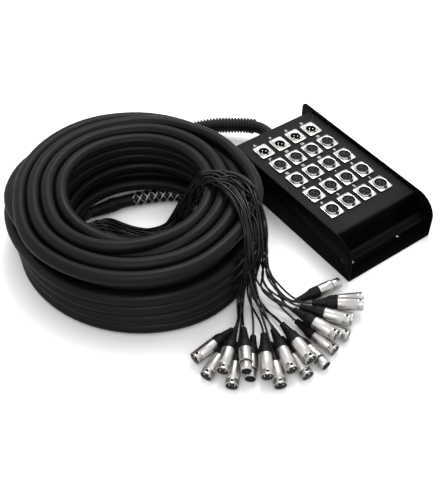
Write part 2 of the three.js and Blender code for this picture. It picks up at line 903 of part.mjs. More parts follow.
// Plug with pins: ribbed boot, metal shell open at its front, insert and three pins
function makeMalePlug(matrix) {
  const sides = 8;
  const toFlats = (radius) => radius / Math.cos(Math.PI / sides);
  const profile = [
    [0, 0],
    [toFlats(plugBootTip), 0],
    [toFlats(shellRadius), plugBootLength],
    [toFlats(shellRadius), plugLength],
    [shellBore, plugLength],
    [shellBore, plugLength - shellDepth],
    [0, plugLength - shellDepth],
  ];
  const pin = [
    [0, plugLength - shellDepth - overrun],
    [pinRadius, plugLength - shellDepth - overrun],
    [pinRadius, plugLength - pinSink],
    [0, plugLength - pinSink],
  ];
  let plug = turned(profile, sides, matrix);
  for (const [x, y] of [[-pinSpread, pinStep], [pinSpread, pinStep], [0, -pinSet]])
    plug = plug.add(turned(pin, 4, matrix.clone().multiply(move(x, y, 0))));
  return plug;
}

// Plug with contact holes: boot, shell and a slimmer nose with a slot for its latch button
const buttonPlace = plugLength - noseLength - buttonLength / 2;
const buttonTop = shellRadius + buttonProud;
function makeFemalePlug(matrix) {
  const noseStart = plugLength - noseLength;
  const profile = [
    [0, 0],
    [plugBootTip, 0],
    [shellRadius, plugBootLength],
    [shellRadius, noseStart],
    [noseRingRadius, noseStart],
    [noseRingRadius, noseStart + noseRing],
    [noseRadius, noseStart + noseRing],
    [noseRadius, plugLength],
    [0, plugLength],
  ];
  const slotDepth = buttonDepth + buttonTravel + 2 * fit;
  const slot = new THREE.BoxGeometry(
    buttonWidth + 2 * fit, slotDepth, buttonLength + 2 * fit,
  );
  const place = move(0, shellRadius + overrun - slotDepth / 2, buttonPlace);
  return turned(profile, connectorSides, matrix).subtract(solid(slot, matrix.clone().multiply(place)));
}

function makeButton(matrix) {
  const button = new THREE.BoxGeometry(buttonWidth, buttonDepth, buttonLength);
  return solid(button, matrix.clone().multiply(move(0, buttonTop - buttonDepth / 2, buttonPlace)));
}

// The cords: one bundle, four lanes, and a cord from each lane to each of its plugs
function makeCords() {
  const laneAcross = new THREE.Vector3(...laneSide, 0);
  const upward = new THREE.Vector3(0, 0, 1);
  let cords = cable(bundleRoute, bundleRadius, 8, 9);
  for (let lane = 0; lane < laneCount; lane++) {
    const curve = laneCurve(lane);
    cords = cords.add(cable(curve, laneRadius, 8, 9));
    const end = curve.getPointAt(1);
    const heading = curve.getTangentAt(1);
    laneCordShares.forEach(([aside, rise], k) => {
      const index = lane * laneCordShares.length + k;
      const matrix = plugMatrix(index);
      const axis = new THREE.Vector3().setFromMatrixColumn(matrix, 2);
      const entry = new THREE.Vector3().setFromMatrixPosition(matrix).addScaledVector(axis, -fit);
      const start = end
        .clone()
        .addScaledVector(heading, -laneRadius)
        .addScaledVector(laneAcross, aside * cordRadius)
        .addScaledVector(upward, rise * cordRadius);
      const pull = start.distanceTo(entry) / 3;
      const approach = entry.clone().addScaledVector(axis, -pull);
      const curveToPlug = new THREE.CubicBezierCurve3(
        start, start.clone().addScaledVector(heading, pull), approach, entry,
      );
      cords = cords.add(cable(curveToPlug, cordRadius, 8, 3));
    });
  }
  return cords;
}

const twoDigits = (number) => String(number).padStart(2, "0");

// Box
const box = new THREE.Group();
part.add(box);
addMesh("chassis_tray", makeTray(), finishes.powder, box);
addMesh("top_cover", makeCover(), finishes.powder, box);
addMesh("carry_handle", makeHandle(), finishes.powder, box);
addMesh("wiring_loom", makeLoom(), finishes.rubber, box);
addMesh("strain_relief", makeRelief(), finishes.rubber, box);

// Sockets: the back row is the returns, and the rows in front of it count down from 16 to 1
const panel = new THREE.Group();
part.add(panel);
socketPlaces.forEach(({ x, y, row, column }) => {
  if (row === 0) {
    addMesh("return_inlet_" + "abcd"[column], makeInlet(x, y), finishes.nickel, panel);
    return;
  }
  const number = twoDigits((socketRows - row) * socketColumns - column);
  addMesh("input_socket_" + number, makeSocket(x, y), finishes.nickel, panel);
  addMesh("input_latch_" + number, makeLatch(x, y), finishes.nickel, panel);
});

// Trunk cable
const trunk = new THREE.Group();
part.add(trunk);
addMesh("trunk_lead", cable(leadRoute, trunkRadius, 8, leadSteps), finishes.rubber, trunk);
addMesh("bend_guard", makeGuard(), finishes.hose, trunk);
addMesh("trunk_coil", solid(ringTube(winding, trunkRadius, 6)), finishes.rubber, trunk);
addMesh("trunk_tail", cable(tailRoute, trunkRadius, 8, tailSteps), finishes.rubber, trunk);
addMesh("cable_grip", makeGrip(), finishes.wire, trunk);
addMesh("breakout_boot", makeBoot(), finishes.rubber, trunk);
addMesh("fan_cords", makeCords(), finishes.rubber, trunk);

// Plugs
const plugs = new THREE.Group();
part.add(plugs);
for (const { name, members } of plugGroups) {
  const joined = members
    .map((index) => makeMalePlug(plugMatrix(index)))
    .reduce((whole, plug) => whole.add(plug));
  addMesh(name, joined, finishes.nickel, plugs);
}
plugFan.forEach(({ kind }, index) => {
  if (kind !== "female") return;
  const matrix = plugMatrix(index);
  addMesh("female_plug_" + (index + 1), makeFemalePlug(matrix), finishes.nickel, plugs);
  addMesh("female_latch_" + (index + 1), makeButton(matrix), finishes.nickel, plugs);
});

export default part;
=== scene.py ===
"""Looks of the stage box, its coiled multicore cable and the fan of plugs at the cable's end."""

import math
import random

import bmesh
import bpy
import numpy
from mathutils import Matrix, Vector
from mathutils.kdtree import KDTree


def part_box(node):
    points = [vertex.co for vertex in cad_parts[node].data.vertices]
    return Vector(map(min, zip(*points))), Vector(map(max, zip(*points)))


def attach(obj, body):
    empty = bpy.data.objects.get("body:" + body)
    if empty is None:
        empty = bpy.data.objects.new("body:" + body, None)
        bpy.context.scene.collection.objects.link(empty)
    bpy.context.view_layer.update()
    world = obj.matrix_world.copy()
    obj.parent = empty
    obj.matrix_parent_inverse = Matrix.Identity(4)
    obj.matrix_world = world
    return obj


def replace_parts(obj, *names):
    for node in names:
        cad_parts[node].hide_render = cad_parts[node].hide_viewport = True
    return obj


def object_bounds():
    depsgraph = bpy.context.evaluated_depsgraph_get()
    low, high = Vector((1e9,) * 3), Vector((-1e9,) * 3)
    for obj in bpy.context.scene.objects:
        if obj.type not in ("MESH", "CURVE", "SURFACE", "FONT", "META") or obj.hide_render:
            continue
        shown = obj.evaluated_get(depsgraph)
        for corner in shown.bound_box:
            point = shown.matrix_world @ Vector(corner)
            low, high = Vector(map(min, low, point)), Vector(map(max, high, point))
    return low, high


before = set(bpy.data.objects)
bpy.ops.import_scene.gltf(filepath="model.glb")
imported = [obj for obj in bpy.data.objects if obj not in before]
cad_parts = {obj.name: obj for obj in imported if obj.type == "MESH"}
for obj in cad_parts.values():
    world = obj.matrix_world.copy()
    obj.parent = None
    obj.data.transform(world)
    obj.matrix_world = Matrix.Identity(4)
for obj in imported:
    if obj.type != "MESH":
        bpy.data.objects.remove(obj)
cad_low, cad_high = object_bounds()
ROOT = "box"
UP = Vector((0, 0, 1))

# Turns of a round piece, made upright, to lie across the box or to point to its back
TO_SIDE = Matrix.Rotation(math.pi / 2, 4, "Y")
TO_BACK = Matrix.Rotation(-math.pi / 2, 4, "X")

# Camera, from the picture's own view
CAMERA_REACH = (0.05, 20)
CAMERA_PLACE = Vector((-0.7474, -0.7321, 0.9715))
CAMERA_AIM = Vector((-0.264542, -0.062047, 0.101086))
LENS = 60.51
SENSOR = 36

# Box
SHEET = 0.0022
FRONT_CORNER = 0.037
BACK_CORNER = 0.011
FOLD_RADIUS = 0.0028
FIT = 0.0003
FRONT_FOOT = 0.024
BACK_FOOT = 0.014
HANDLE_RADIUS = 0.0085
BOLT_HEAD = ((0.0052, -0.0012), (0.0052, -0.0008), (0.0044, -0.0003))
BOLT_SOCKET = 0.0022
BOLT_SHANK = 0.004
DRILL_REACH = 0.01
HANDLE_EDGE = 0.0006
BOLT_HOLE = 0.0043
RECESS_RADIUS = 0.0068
RECESS_DEPTH = 0.0009
EXIT_RADIUS = 0.0112
FRONT_SCREWS = (-0.0575, 0.0405)
FRONT_SCREW_INSET = 0.006
BACK_SCREWS = (-0.05, 0.05)
BACK_SCREW_INSET = 0.005

# Panel connectors
FLANGE_THICK = 0.002
FLANGE_CORNER = 0.003
BODY_RADIUS = 0.0118
PLUG_BORE = 0.0098
PLUG_BORE_DEPTH = 0.009
INSERT_RADIUS = 0.0078
INLET_BORE = 0.0084
INLET_DEPTH = 0.013
NOTCH_SIZE = (0.0044, 0.0036, 0.0022)
# Black block in an inlet's notch: painted shade in the hollow.
NOTCH_SHADE = (0.0042, 0.0034, 0.0014)
BODY_FOOT = 0.021
CONTACT_RADIUS = 0.00125
CONTACT_HOLE = 0.0014
CONTACTS = ((-0.004, -0.001), (0.004, -0.001), (0, 0.0037))
FLANGE_SCREWS = ((-0.0095, 0.012), (0.0095, -0.012))
LABEL_SHIFT = Vector((-0.0024, 0.0221, 0))
LABEL_SIZE = 0.0066
LABEL_GAP = 0.00005
LABEL_DEPTH = 0.00004
LABEL_WEIGHT = 0.00042

# Radius and height of the screw heads
FLANGE_SCREW = (0.0023, 0.0009)
COVER_SCREW = (0.0034, 0.0018)

# Trunk cable and its coil, as the CAD source winds it
TRUNK = 0.0208
GROUND_GAP = 0.0001
COIL_CENTRE = (-0.2915, 0.102)
COIL_RADII = (0.188, 0.192)
COLUMNS = 4
LEVELS = 6
LEVEL_RISE = TRUNK + 0.0011
COLUMN_STEP = TRUNK + 0.0016
COIL_START = 0.1
COIL_END = 22.78
TURN_OFFSET = math.radians(49)
CLIMB_TURNS = 0.24
REVERSAL_TURNS = 0.1
SLACK = 0.027
SLACK_BEARING = math.radians(62)
SWAY_X_SHARES = (0, -0.05, -0.14, -0.29, -0.43, -0.58)
SWAY_Y_SHARES = (0, 0, -0.05, -0.1, -0.19, -0.24)
DRAW_IN_SHARES = (0, 0, 0.05, 0.1, 0.24, 0.34)
DOME_SHARES = (0, 0.14, 0.19, 0.05)
LIFT_SHARE = 0.29
WAVE_SHARE = 0.03
LIFT_BEARING = math.radians(215)
LIFT_LEVEL = 3
WAVE_COUNT = 3
WAVE_PHASE = 1.7
RINGS_PER_TURN = 84

# Loose stretches of the coil: how much each level and each column has of them, the bearing of their
# middle and half their width in degrees, and how far they stand out and up
LOOSE = (
    ((0, 0, 0, 0, 1, 0), (1, 1, 1, 1), 235, 95, -0.0112, 0),
    ((0, 0, 0, 0, 0, 1), (1, 1, 1, 1), 235, 90, 0, -0.0044),
    ((0, 0, 0, 0, 0.4, 1), (1, 0.8, 0.6, 0.4), 112, 78, -0.0095, 0),
    ((0, 0.2, 0.5, 0.9, 1, 0), (1, 0.8, 0.6, 0.4), 138, 44, 0.013, 0.002),
    ((0, 0, 0, 0, 0.3, 1), (1, 0, 0, 0), 320, 38, 0.008, 0),
    ((0, 0, 0, 0, 0, 1), (1, 0.6, 0.3, 0), 6, 50, -0.0045, 0),
    ((1, 1, 1, 1, 1, 1), (1, 0.75, 0.5, 0.25), 318, 60, -0.006, 0),
)
LOOSE_RAMP = 40

# Pieces along the trunk, by distance along its lead or tail
GUARD_START = 0.033
GUARD_LENGTH = 0.143
GUARD_ROOT = 0.0109
GUARD_CREST = 0.0135
RIB_PITCH = 0.0055
RIB_SHARES = (
    (0, 0), (0.28, 0.02), (0.34, 0.3), (0.4, 0.92), (0.46, 1),
    (0.78, 1), (0.84, 0.92), (0.9, 0.3), (0.96, 0.02),
)
GRIP_START = 0.062
GRIP_LENGTH = 0.112
GRIP_RADIUS = 0.0112
GRIP_STATIONS = 180
GRIP_FLOOR = 0.0006
GRIP_WIRE = 0.0004
GRIP_STRANDS = 4
GRIP_TURNS = 2.1
GRIP_WIRES = (-0.00075, 0, 0.00075)
BOOT_LENGTH = 0.036
BUNDLE_RADIUS = 0.0082

# Distance between the points of a cord's line
LINE_STEP = 0.003

# Thin cords and plugs
CORD = 0.0032
PLUG_LENGTH = 0.075
BOOT_TO_SHELL = 0.037
SHELL_RADIUS = 0.0095
BOOT_TIP = 0.0047
SHELL_DEPTH = 0.014
NOSE_RADIUS = 0.0081
NOSE_LENGTH = 0.015
NOSE_RING = 0.0016
BUTTON_SIZE = (0.0046, 0.0022, 0.008)
BUTTON_PROUD = 0.0009
BUTTON_SLOT = 0.003
PLUG_SIDES = 64
FLUTES = (0.0205, 0.0352)
FLUTE_DEPTH = 0.00028
PLUG_CLEARANCE = 0.0009
PLUG_PRESS = 0.0003
CORD_IN_BOOT = 0.018
CORD_IN_BREAKOUT = 0.012
CORD_PULL = 0.4
BUNDLE_RINGS = 9
BUNDLE_START = 0.002
BUNDLE_REACH = 0.97
BUNDLE_SQUEEZE = 0.7

# Floor, world light, and lamps by name, place, aim, size, power and share of gloss
WHITE = (1, 1, 1, 1)
FLOOR_SIZE = 30
FLOOR_COLOUR = (0.93, 0.93, 0.93, 1)
FLOOR_GLOW = 0.72
SHADE_REACH = 0.06
SHADE_DEPTH = 1.7
WORLD_LIGHT = 0.4
LAMPS = (
    ("key_softbox", (0.6, 0.8, 2.0), (-0.2, 0.05, 0), 1.1, 26, 0.25),
    ("front_softbox", (-0.8, -0.8, 1.1), (-0.3, 0, 0), 0.6, 4, 6),
)


def in_scene(name, data):
    thing = bpy.data.objects.new(name, data)
    bpy.context.scene.collection.objects.link(thing)
    return thing


def aimed(name, data, place, aim):
    """A camera or lamp at its place, turned to its aim."""
    holder = in_scene(name, data)
    holder.location = place
    holder.rotation_mode = "QUATERNION"
    holder.rotation_quaternion = (Vector(aim) - Vector(place)).to_track_quat("-Z", "Y")
    return holder


def make_camera():
    camera = bpy.data.cameras.new("camera")
    camera.lens = LENS
    camera.sensor_width = SENSOR
    camera.clip_start, camera.clip_end = CAMERA_REACH
    bpy.context.scene.camera = aimed("camera", camera, CAMERA_PLACE, CAMERA_AIM)


make_camera()


# Materials
NOISE_SPREAD = (0.3, 0.7)


def fill_inputs(tree, node, inputs):
    """Gives each named input a value or another node's output."""
    for key, source in inputs.items():
        if isinstance(source, bpy.types.NodeSocket):
            tree.links.new(source, node.inputs[key])
        else:
            node.inputs[key].default_value = source


def add_node(tree, kind, inputs, **settings):
    node = tree.nodes.new(kind)
    for name, value in settings.items():
        setattr(node, name, value)
    fill_inputs(tree, node, inputs)
    return node


def computed(tree, operation, first, second):
    node = add_node(tree, "ShaderNodeMath", {0: first, 1: second}, operation=operation)
    return node.outputs["Value"]


def coating(name, low, high, rough, patch, grain, height, specular, metal=0):
    """A finish whose colour and roughness drift over patches, with a grain of some height.

    Patch and grain are the scales of their noises."""
    material = bpy.data.materials.new(name)
    material.use_nodes = True
    tree = material.node_tree
    place = add_node(tree, "ShaderNodeTexCoord", {}).outputs["Object"]
    patches = add_node(tree, "ShaderNodeTexNoise", {"Vector": place, "Scale": patch, "Detail": 3})
    drift = patches.outputs["Fac"]
    tint = add_node(tree, "ShaderNodeValToRGB", {"Fac": drift})
    for element, position, colour in zip(tint.color_ramp.elements, NOISE_SPREAD, (low, high)):
        element.position = position
        element.color = (*colour, 1)
    gloss = add_node(tree, "ShaderNodeMapRange", {
        "Value": drift, "From Min": NOISE_SPREAD[0], "From Max": NOISE_SPREAD[1],
        "To Min": rough[0], "To Max": rough[1],
    })
    speckle = add_node(tree, "ShaderNodeTexNoise", {"Vector": place, "Scale": grain, "Detail": 2})
    bump = add_node(tree, "ShaderNodeBump", {
        "Height": speckle.outputs["Fac"], "Strength": 1, "Distance": height,
    })
    fill_inputs(tree, tree.nodes["Principled BSDF"], {
        "Base Color": tint.outputs["Color"],
        "Roughness": gloss.outputs["Result"],
        "Normal": bump.outputs["Normal"],
        "Metallic": metal,
        "Specular IOR Level": specular,
    })
    return material


# One black powder coat in two copies. This darker one, on the tray, the handle bar and the cover's
# walls and feet, is painted shade. The lighter panel copy is painted light on the upward-facing
# panel.
shaded_powder_coat = coating(
    "black powder coat shaded copy", (0.0017, 0.0016, 0.0016), (0.0028, 0.0027, 0.0026),
    (0.45, 0.58), 22, 1500, 0.00007, 0.04,
)
lit_panel_coat = coating(
    "powder coat lit panel copy", (0.0085, 0.0082, 0.0078), (0.0115, 0.011, 0.0104),
    (0.5, 0.62), 18, 1500, 0.00008, 0.12,
)
nickel = coating(
    "satin nickel", (0.5, 0.488, 0.472), (0.66, 0.65, 0.632),
    (0.26, 0.4), 90, 900, 0.00001, 0.5, 1,
)
shell_nickel = coating(
    "brushed nickel shell", (0.5, 0.485, 0.465), (0.62, 0.61, 0.59),
    (0.3, 0.42), 90, 700, 0.000015, 0.5, 1,
)
screw_steel = coating(
    "zinc screw", (0.55, 0.55, 0.54), (0.7, 0.7, 0.68),
    (0.28, 0.4), 300, 1800, 0.00002, 0.5, 1,
)
bolt_steel = coating(
    "blackened bolt", (0.018, 0.018, 0.018), (0.035, 0.035, 0.034),
    (0.3, 0.42), 300, 1800, 0.00002, 0.5, 1,
)
contact_metal = coating(
    "silver contact", (0.82, 0.8, 0.76), (0.92, 0.9, 0.86),
    (0.15, 0.25), 400, 2000, 0.00001, 0.5, 1,
)
# Black insert plastic, also used as painted shade on the inlets' bore walls and notches.
insert_plastic_and_bore_shade = coating(
    "connector insert and bore shade", (0.0045, 0.0045, 0.0045), (0.0075, 0.0075, 0.0073),
    (0.45, 0.6), 200, 2500, 0.00003, 0.2,
)
# Black of the latch tabs, also used as painted shade on the sockets' groove walls.
latch_plastic_and_groove_shade = coating(
    "latch tab and groove shade", (0.003, 0.003, 0.003), (0.005, 0.005, 0.005),
    (0.4, 0.5), 300, 2500, 0.00002, 0.15,
)
label_paint = coating(
    "label paint", (0.8, 0.8, 0.78), (0.88, 0.88, 0.86),
    (0.5, 0.62), 500, 3000, 0.00001, 0.3,
)
jacket_rubber = coating(
    "trunk jacket", (0.0052, 0.0049, 0.0046), (0.0085, 0.008, 0.0075),
    (0.36, 0.48), 14, 1100, 0.00006, 0.15,
)
guard_plastic = coating(
    "bend guard", (0.004, 0.004, 0.004), (0.007, 0.007, 0.0068),
    (0.38, 0.5), 40, 1600, 0.00003, 0.25,
)
relief_plastic = coating(
    "strain relief", (0.005, 0.005, 0.005), (0.008, 0.008, 0.0078),
    (0.42, 0.55), 60, 1600, 0.00004, 0.22,
)
boot_rubber = coating(
    "plug boot rubber", (0.0038, 0.0038, 0.0038), (0.0065, 0.0065, 0.0064),
    (0.45, 0.6), 80, 1500, 0.00006, 0.2,
)
cord_vinyl = coating(
    "thin cord vinyl", (0.0035, 0.0035, 0.0035), (0.006, 0.006, 0.0058),
    (0.22, 0.3), 50, 1400, 0.00003, 0.32,
)
grip_wire = coating(
    "grip wire", (0.4, 0.4, 0.39), (0.58, 0.58, 0.56),
    (0.3, 0.42), 150, 1500, 0.00002, 0.5, 1,
)
loom_sleeve = coating(
    "loom sleeve", (0.015, 0.015, 0.015), (0.03, 0.03, 0.03),
    (0.5, 0.65), 80, 900, 0.0001, 0.35,
)


# Modelling helpers
def only(piece):
    bpy.ops.object.select_all(action="DESELECT")
    piece.select_set(True)
    bpy.context.view_layer.objects.active = piece


def finished(piece, name, material, slot=None, body=ROOT):
    """Names a piece, gives it its material and lets it ride on a body."""
    piece.name = name
    piece.data.name = name
    piece.data.materials.clear()
    piece.data.materials.append(material)
    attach(piece, body)
    return piece


def modified(piece, kind, **settings):
    only(piece)
    modifier = piece.modifiers.new(kind.lower(), kind)
    for name, value in settings.items():
        setattr(modifier, name, value)
    bpy.ops.object.modifier_apply(modifier=modifier.name)
    return piece


def smoothed(piece, angle):
    only(piece)
    bpy.ops.object.shade_smooth_by_angle(angle=math.radians(angle))
    return piece


def softened(piece, width, segments, angle):
    """Rounds the sharp edges and shades the rest smooth."""
    modified(
        piece, "BEVEL", width=width, segments=segments, limit_method="ANGLE",
        angle_limit=math.radians(angle), harden_normals=False,
    )
    return smoothed(piece, angle)


def added(operator, **settings):
    """What an add operator puts in the scene, selected alone."""
    bpy.ops.object.select_all(action="DESELECT")
    operator(**settings)
    return bpy.context.object


def block(size, centre):
    cube = added(bpy.ops.mesh.primitive_cube_add, size=1, location=centre, scale=size)
    bpy.ops.object.transform_apply(location=True, rotation=True, scale=True)
    return cube


def rounded_block(size, centre, corner, segments):
    """A block whose four upright edges are rounded."""
    piece = block(size, centre)
    round_edges(piece, lambda a, b: abs(a.z - b.z) > size[2] / 2, corner, segments)
    return piece


def select_where(piece, domain, test):
    """In edit mode, selects the edges or faces that pass a test."""
    bpy.ops.mesh.select_mode(type=domain)
    bpy.ops.mesh.select_all(action="DESELECT")
    cage = bmesh.from_edit_mesh(piece.data)
    for item in cage.edges if domain == "EDGE" else cage.faces:
        item.select_set(test(item))
    bmesh.update_edit_mesh(piece.data)


def round_edges(piece, test, radius, segments):
    """Rounds the edges whose two ends pass a test."""
    only(piece)
    bpy.ops.object.mode_set(mode="EDIT")
    select_where(piece, "EDGE", lambda edge: test(*(corner.co for corner in edge.verts)))
    bpy.ops.mesh.bevel(offset=radius, segments=segments, affect="EDGES", clamp_overlap=False)
    bpy.ops.object.mode_set(mode="OBJECT")


def turned(profile, sides):
    """A round solid drawn up out of a disc, ring by ring, from (radius, height) pairs."""
    (radius, height), *rest = profile
    circle = bpy.ops.mesh.primitive_circle_add
    piece = added(circle, vertices=sides, radius=radius, fill_type="NGON")
    bpy.ops.object.mode_set(mode="EDIT")
    bpy.ops.mesh.select_mode(type="FACE")
    bpy.ops.mesh.select_all(action="SELECT")
    bpy.ops.transform.translate(value=(0, 0, height))
    for wider, higher in rest:
        bpy.ops.mesh.extrude_region_move(TRANSFORM_OT_translate={"value": (0, 0, higher - height)})
        share = wider / radius
        bpy.ops.transform.resize(value=(share, share, 1), center_override=(0, 0, 0))
        radius = wider
        height = higher
    bpy.ops.mesh.select_all(action="SELECT")
    bpy.ops.mesh.normals_make_consistent(inside=False)
    bpy.ops.object.mode_set(mode="OBJECT")
    return piece


def rod(radius, low, high, sides):
    return turned([(radius, low), (radius, high)], sides)


def drill(radius, sides):
    return rod(radius, -DRILL_REACH, DRILL_REACH, sides)


def moved(piece, matrix):
    piece.data.transform(matrix)
    return piece


def cut(piece, *tools):
    for tool in tools:
        modified(piece, "BOOLEAN", object=tool, operation="DIFFERENCE", solver="EXACT")
        bpy.data.objects.remove(tool)
    return piece


def joined(*pieces):
    only(pieces[0])
    for piece in pieces[1:]:
        piece.select_set(True)
    bpy.ops.object.join()
    return pieces[0]


def placed(pattern, matrix):
    """A copy of a pattern with a mesh of its own, put in its place."""
    piece = pattern.copy()
    piece.data = pattern.data.copy()
    piece.data.transform(matrix)
    bpy.context.scene.collection.objects.link(piece)
    return piece


def put_away(*patterns):
    for pattern in patterns:
        bpy.data.objects.remove(pattern)


def copies(parts, place, mark):
    """Finished copies in one place of parts, each given by name, pattern, finish and slot."""
    return [
        finished(placed(pattern, place), f"{name}_{mark}", material, slot)
        for name, pattern, material, slot in parts
    ]


def patterns_of(kinds):
    return {pattern for parts in kinds.values() for _, pattern, _, _ in parts}


def round_curve(name, radius, sides):
    curve = bpy.data.curves.new(name, "CURVE")
    curve.dimensions = "3D"
    curve.bevel_depth = radius
    curve.bevel_resolution = (sides - 4) // 2
    return curve


def tube(name, points, radius, sides, radii=None):
    """A curve with a round section along a line of points."""
    curve = round_curve(name, radius, sides)
    curve.use_fill_caps = True
    add_line(curve, points, radii)
    return in_scene(name, curve)


def add_line(curve, points, radii=None):
    line = curve.splines.new("POLY")
    line.points.add(len(points) - 1)
    for i, place in enumerate(points):
        line.points[i].co = (*place, 1)
        if radii:
            line.points[i].radius = radii[i]


def to_mesh(piece):
    only(piece)
    bpy.ops.object.convert(target="MESH")
    return bpy.context.object


# Lines of cords
def spline(controls, step=LINE_STEP):
    """A centripetal curve through its points, sampled about one step apart."""
    controls = [Vector(p) for p in controls]
    ends = [2 * controls[0] - controls[1], *controls, 2 * controls[-1] - controls[-2]]
    line = [controls[0]]
    for p0, p1, p2, p3 in zip(ends, ends[1:], ends[2:], ends[3:]):
        pairs = ((p0, p1), (p1, p2), (p2, p3))
        before, during, after = (math.sqrt((b - a).length) for a, b in pairs)
        leave = ((p1 - p0) / before - (p2 - p0) / (before + during) + (p2 - p1) / during) * during
        arrive = ((p2 - p1) / during - (p3 - p1) / (during + after) + (p3 - p2) / after) * during
        count = max(1, math.ceil((p2 - p1).length / step))
        for i in range(1, count + 1):
            t = i / count
            square, cube = t * t, t * t * t
            line.append(
                p1 * (2 * cube - 3 * square + 1)
                + leave * (cube - 2 * square + t)
                + p2 * (3 * square - 2 * cube)
                + arrive * (cube - square)
            )
    return line


def length_of(line):
    return sum((b - a).length for a, b in zip(line, line[1:]))


def stations(line, distances):
    """Points, headings and two level-carried directions across the line, at rising distances."""
    found = []
    heading = (line[1] - line[0]).normalized()
    across = heading.cross(UP).normalized()
    travelled = 0
    distances = list(distances)
    for a, b in zip(line, line[1:]):
        stretch = (b - a).length
        heading = (b - a) / stretch
        across = (across - heading * across.dot(heading)).normalized()
        while distances and distances[0] <= travelled + stretch:
            place = a.lerp(b, (distances.pop(0) - travelled) / stretch)
            found.append((place, heading.copy(), across.copy(), across.cross(heading)))
        travelled += stretch
    return found


def spread_out(start, stop, count):
    return [start + (stop - start) * i / (count - 1) for i in range(count)]


def places_along(line, distances):
    return [place for place, _, _, _ in stations(line, distances)]


def evenly(line, count):
    """Points the same way apart along a line, to just short of its end."""
    return places_along(line, spread_out(0, length_of(line) * 0.99999, count))


# The coil's centre line
def ease(t):
    u = min(max(t, 0), 1)
    return u * u * u * (u * (6 * u - 15) + 10)


def winding_moves():
    """Turns at which the cable climbs, drops or steps to the next column."""
    moves = []
    at = 0
    for column in range(COLUMNS):
        climb = 1 if column % 2 == 0 else -1
        for level in range(1, LEVELS):
            at += 1 - REVERSAL_TURNS if level == 1 and column > 0 else 1
            moves.append((at, 0, climb))
        at += 1 - REVERSAL_TURNS
        if column < COLUMNS - 1:
            moves.append((at, 1, 0))
    return moves


MOVES = winding_moves()


def between(shares, place):
    low = min(int(place), len(shares) - 2)
    return shares[low] + (shares[low + 1] - shares[low]) * (place - low)


def smoothstep(value, low, high):
    t = min(max((value - low) / (high - low), 0), 1)
    return t * t * (3 - 2 * t)


def coil_point(turns):
    column = 0
    level = 0
    for at, aside, climb in MOVES:
        share = ease((turns - at) / CLIMB_TURNS + 1 / 2)
        column += aside * share
        level += climb * share
    angle = TURN_OFFSET + 2 * math.pi * turns
    wave = WAVE_SHARE * math.sin(WAVE_COUNT * angle + WAVE_PHASE * level)
    inset = COLUMN_STEP * column + (between(DRAW_IN_SHARES, level) - wave) * TRUNK
    far_side = ((1 + math.cos(angle - SLACK_BEARING)) / 2) ** 2
    inset += SLACK * smoothstep(turns, COIL_END - 2, COIL_END - 1) * far_side
    facing = (1 + math.cos(angle - LIFT_BEARING)) / 2
    lifted = smoothstep(level, LIFT_LEVEL, LIFT_LEVEL + 1) * LIFT_SHARE * facing
    dome = between(DOME_SHARES, column) * level / (LEVELS - 1)
    rise = (lifted + dome) * TRUNK
    for levels, columns, bearing, half, out, up in LOOSE:
        aside = abs((math.degrees(angle) - bearing + 180) % 360 - 180)
        share = smoothstep(half - aside, 0, LOOSE_RAMP)
        share *= between(levels, level) * between(columns, column)
        inset -= out * share
        rise += up * share
    x = COIL_CENTRE[0] + between(SWAY_X_SHARES, level) * TRUNK
    y = COIL_CENTRE[1] + between(SWAY_Y_SHARES, level) * TRUNK
    return Vector((
        x + (COIL_RADII[0] - inset) * math.cos(angle),
        y + (COIL_RADII[1] - inset) * math.sin(angle),
        GROUND_GAP + TRUNK / 2 + LEVEL_RISE * level + rise,
    ))


coil_count = round((COIL_END - COIL_START) * RINGS_PER_TURN)
coil_line = [coil_point(turns) for turns in spread_out(COIL_START, COIL_END, coil_count + 1)]
coil_in = (coil_line[1] - coil_line[0]).normalized()
coil_out = (coil_line[-1] - coil_line[-2]).normalized()
coil_first = coil_line[0] - coil_in * TRUNK
coil_last = coil_line[-1] + coil_out * TRUNK

relief_mouth = Vector((0.010, 0.162, 0.034))
lead_line = spline([
    relief_mouth + Vector((0, FIT, 0)),
    relief_mouth + Vector((0, TRUNK / 2, 0)),
    (0.008, 0.184, 0.0338),
    (0.003, 0.195, 0.0332),
    (-0.005, 0.2055, 0.0325),
    (-0.016, 0.2165, 0.0315),
    (-0.029, 0.2285, 0.0298),
    (-0.042, 0.241, 0.0275),
    (-0.057, 0.253, 0.0245),
    (-0.074, 0.2635, 0.021),
    (-0.093, 0.2715, 0.0175),
    (-0.115, 0.2765, 0.0142),
    (-0.139, 0.2795, 0.012),
    (-0.163, 0.2825, 0.0109),
    (-0.188, 0.285, 0.0105),
    (-0.212, 0.2877, 0.0105),
    coil_first - coil_in * (TRUNK / 2 + FIT),
    coil_first - coil_in * FIT,
])
tail_line = spline([
    coil_last + coil_out * FIT,
    coil_last + coil_out * (TRUNK / 2),
    (-0.1695, 0.085, 0.0106),
    (-0.1705, 0.101, 0.011),
    (-0.177, 0.117, 0.0115),
    (-0.1855, 0.132, 0.0121),
    (-0.197, 0.145, 0.0123),
    (-0.213, 0.156, 0.0123),
    (-0.231, 0.1655, 0.0123),
    (-0.250, 0.174, 0.0123),
    (-0.270, 0.1815, 0.0123),
    (-0.288, 0.1865, 0.0123),
    (-0.303, 0.1885, 0.0123),
])
tail_heading = (tail_line[-1] - tail_line[-2]).normalized()
boot_mouth = tail_line[-1] + tail_heading * BOOT_LENGTH

# Thin cords: one bundle in the coil's hole, a loose sheet over the coil, and the fan
bundle_line = spline([
    boot_mouth + tail_heading * FIT,
    boot_mouth + tail_heading * (BUNDLE_RADIUS / 2),
    (-0.3500, 0.1945, 0.0114),
    (-0.3594, 0.1936, 0.0110),
    (-0.3670, 0.1880, 0.0106),
    (-0.3700, 0.1786, 0.0104),
    (-0.3671, 0.1692, 0.0102),
    (-0.3594, 0.1634, 0.0100),
    (-0.3500, 0.1612, 0.0098),
])

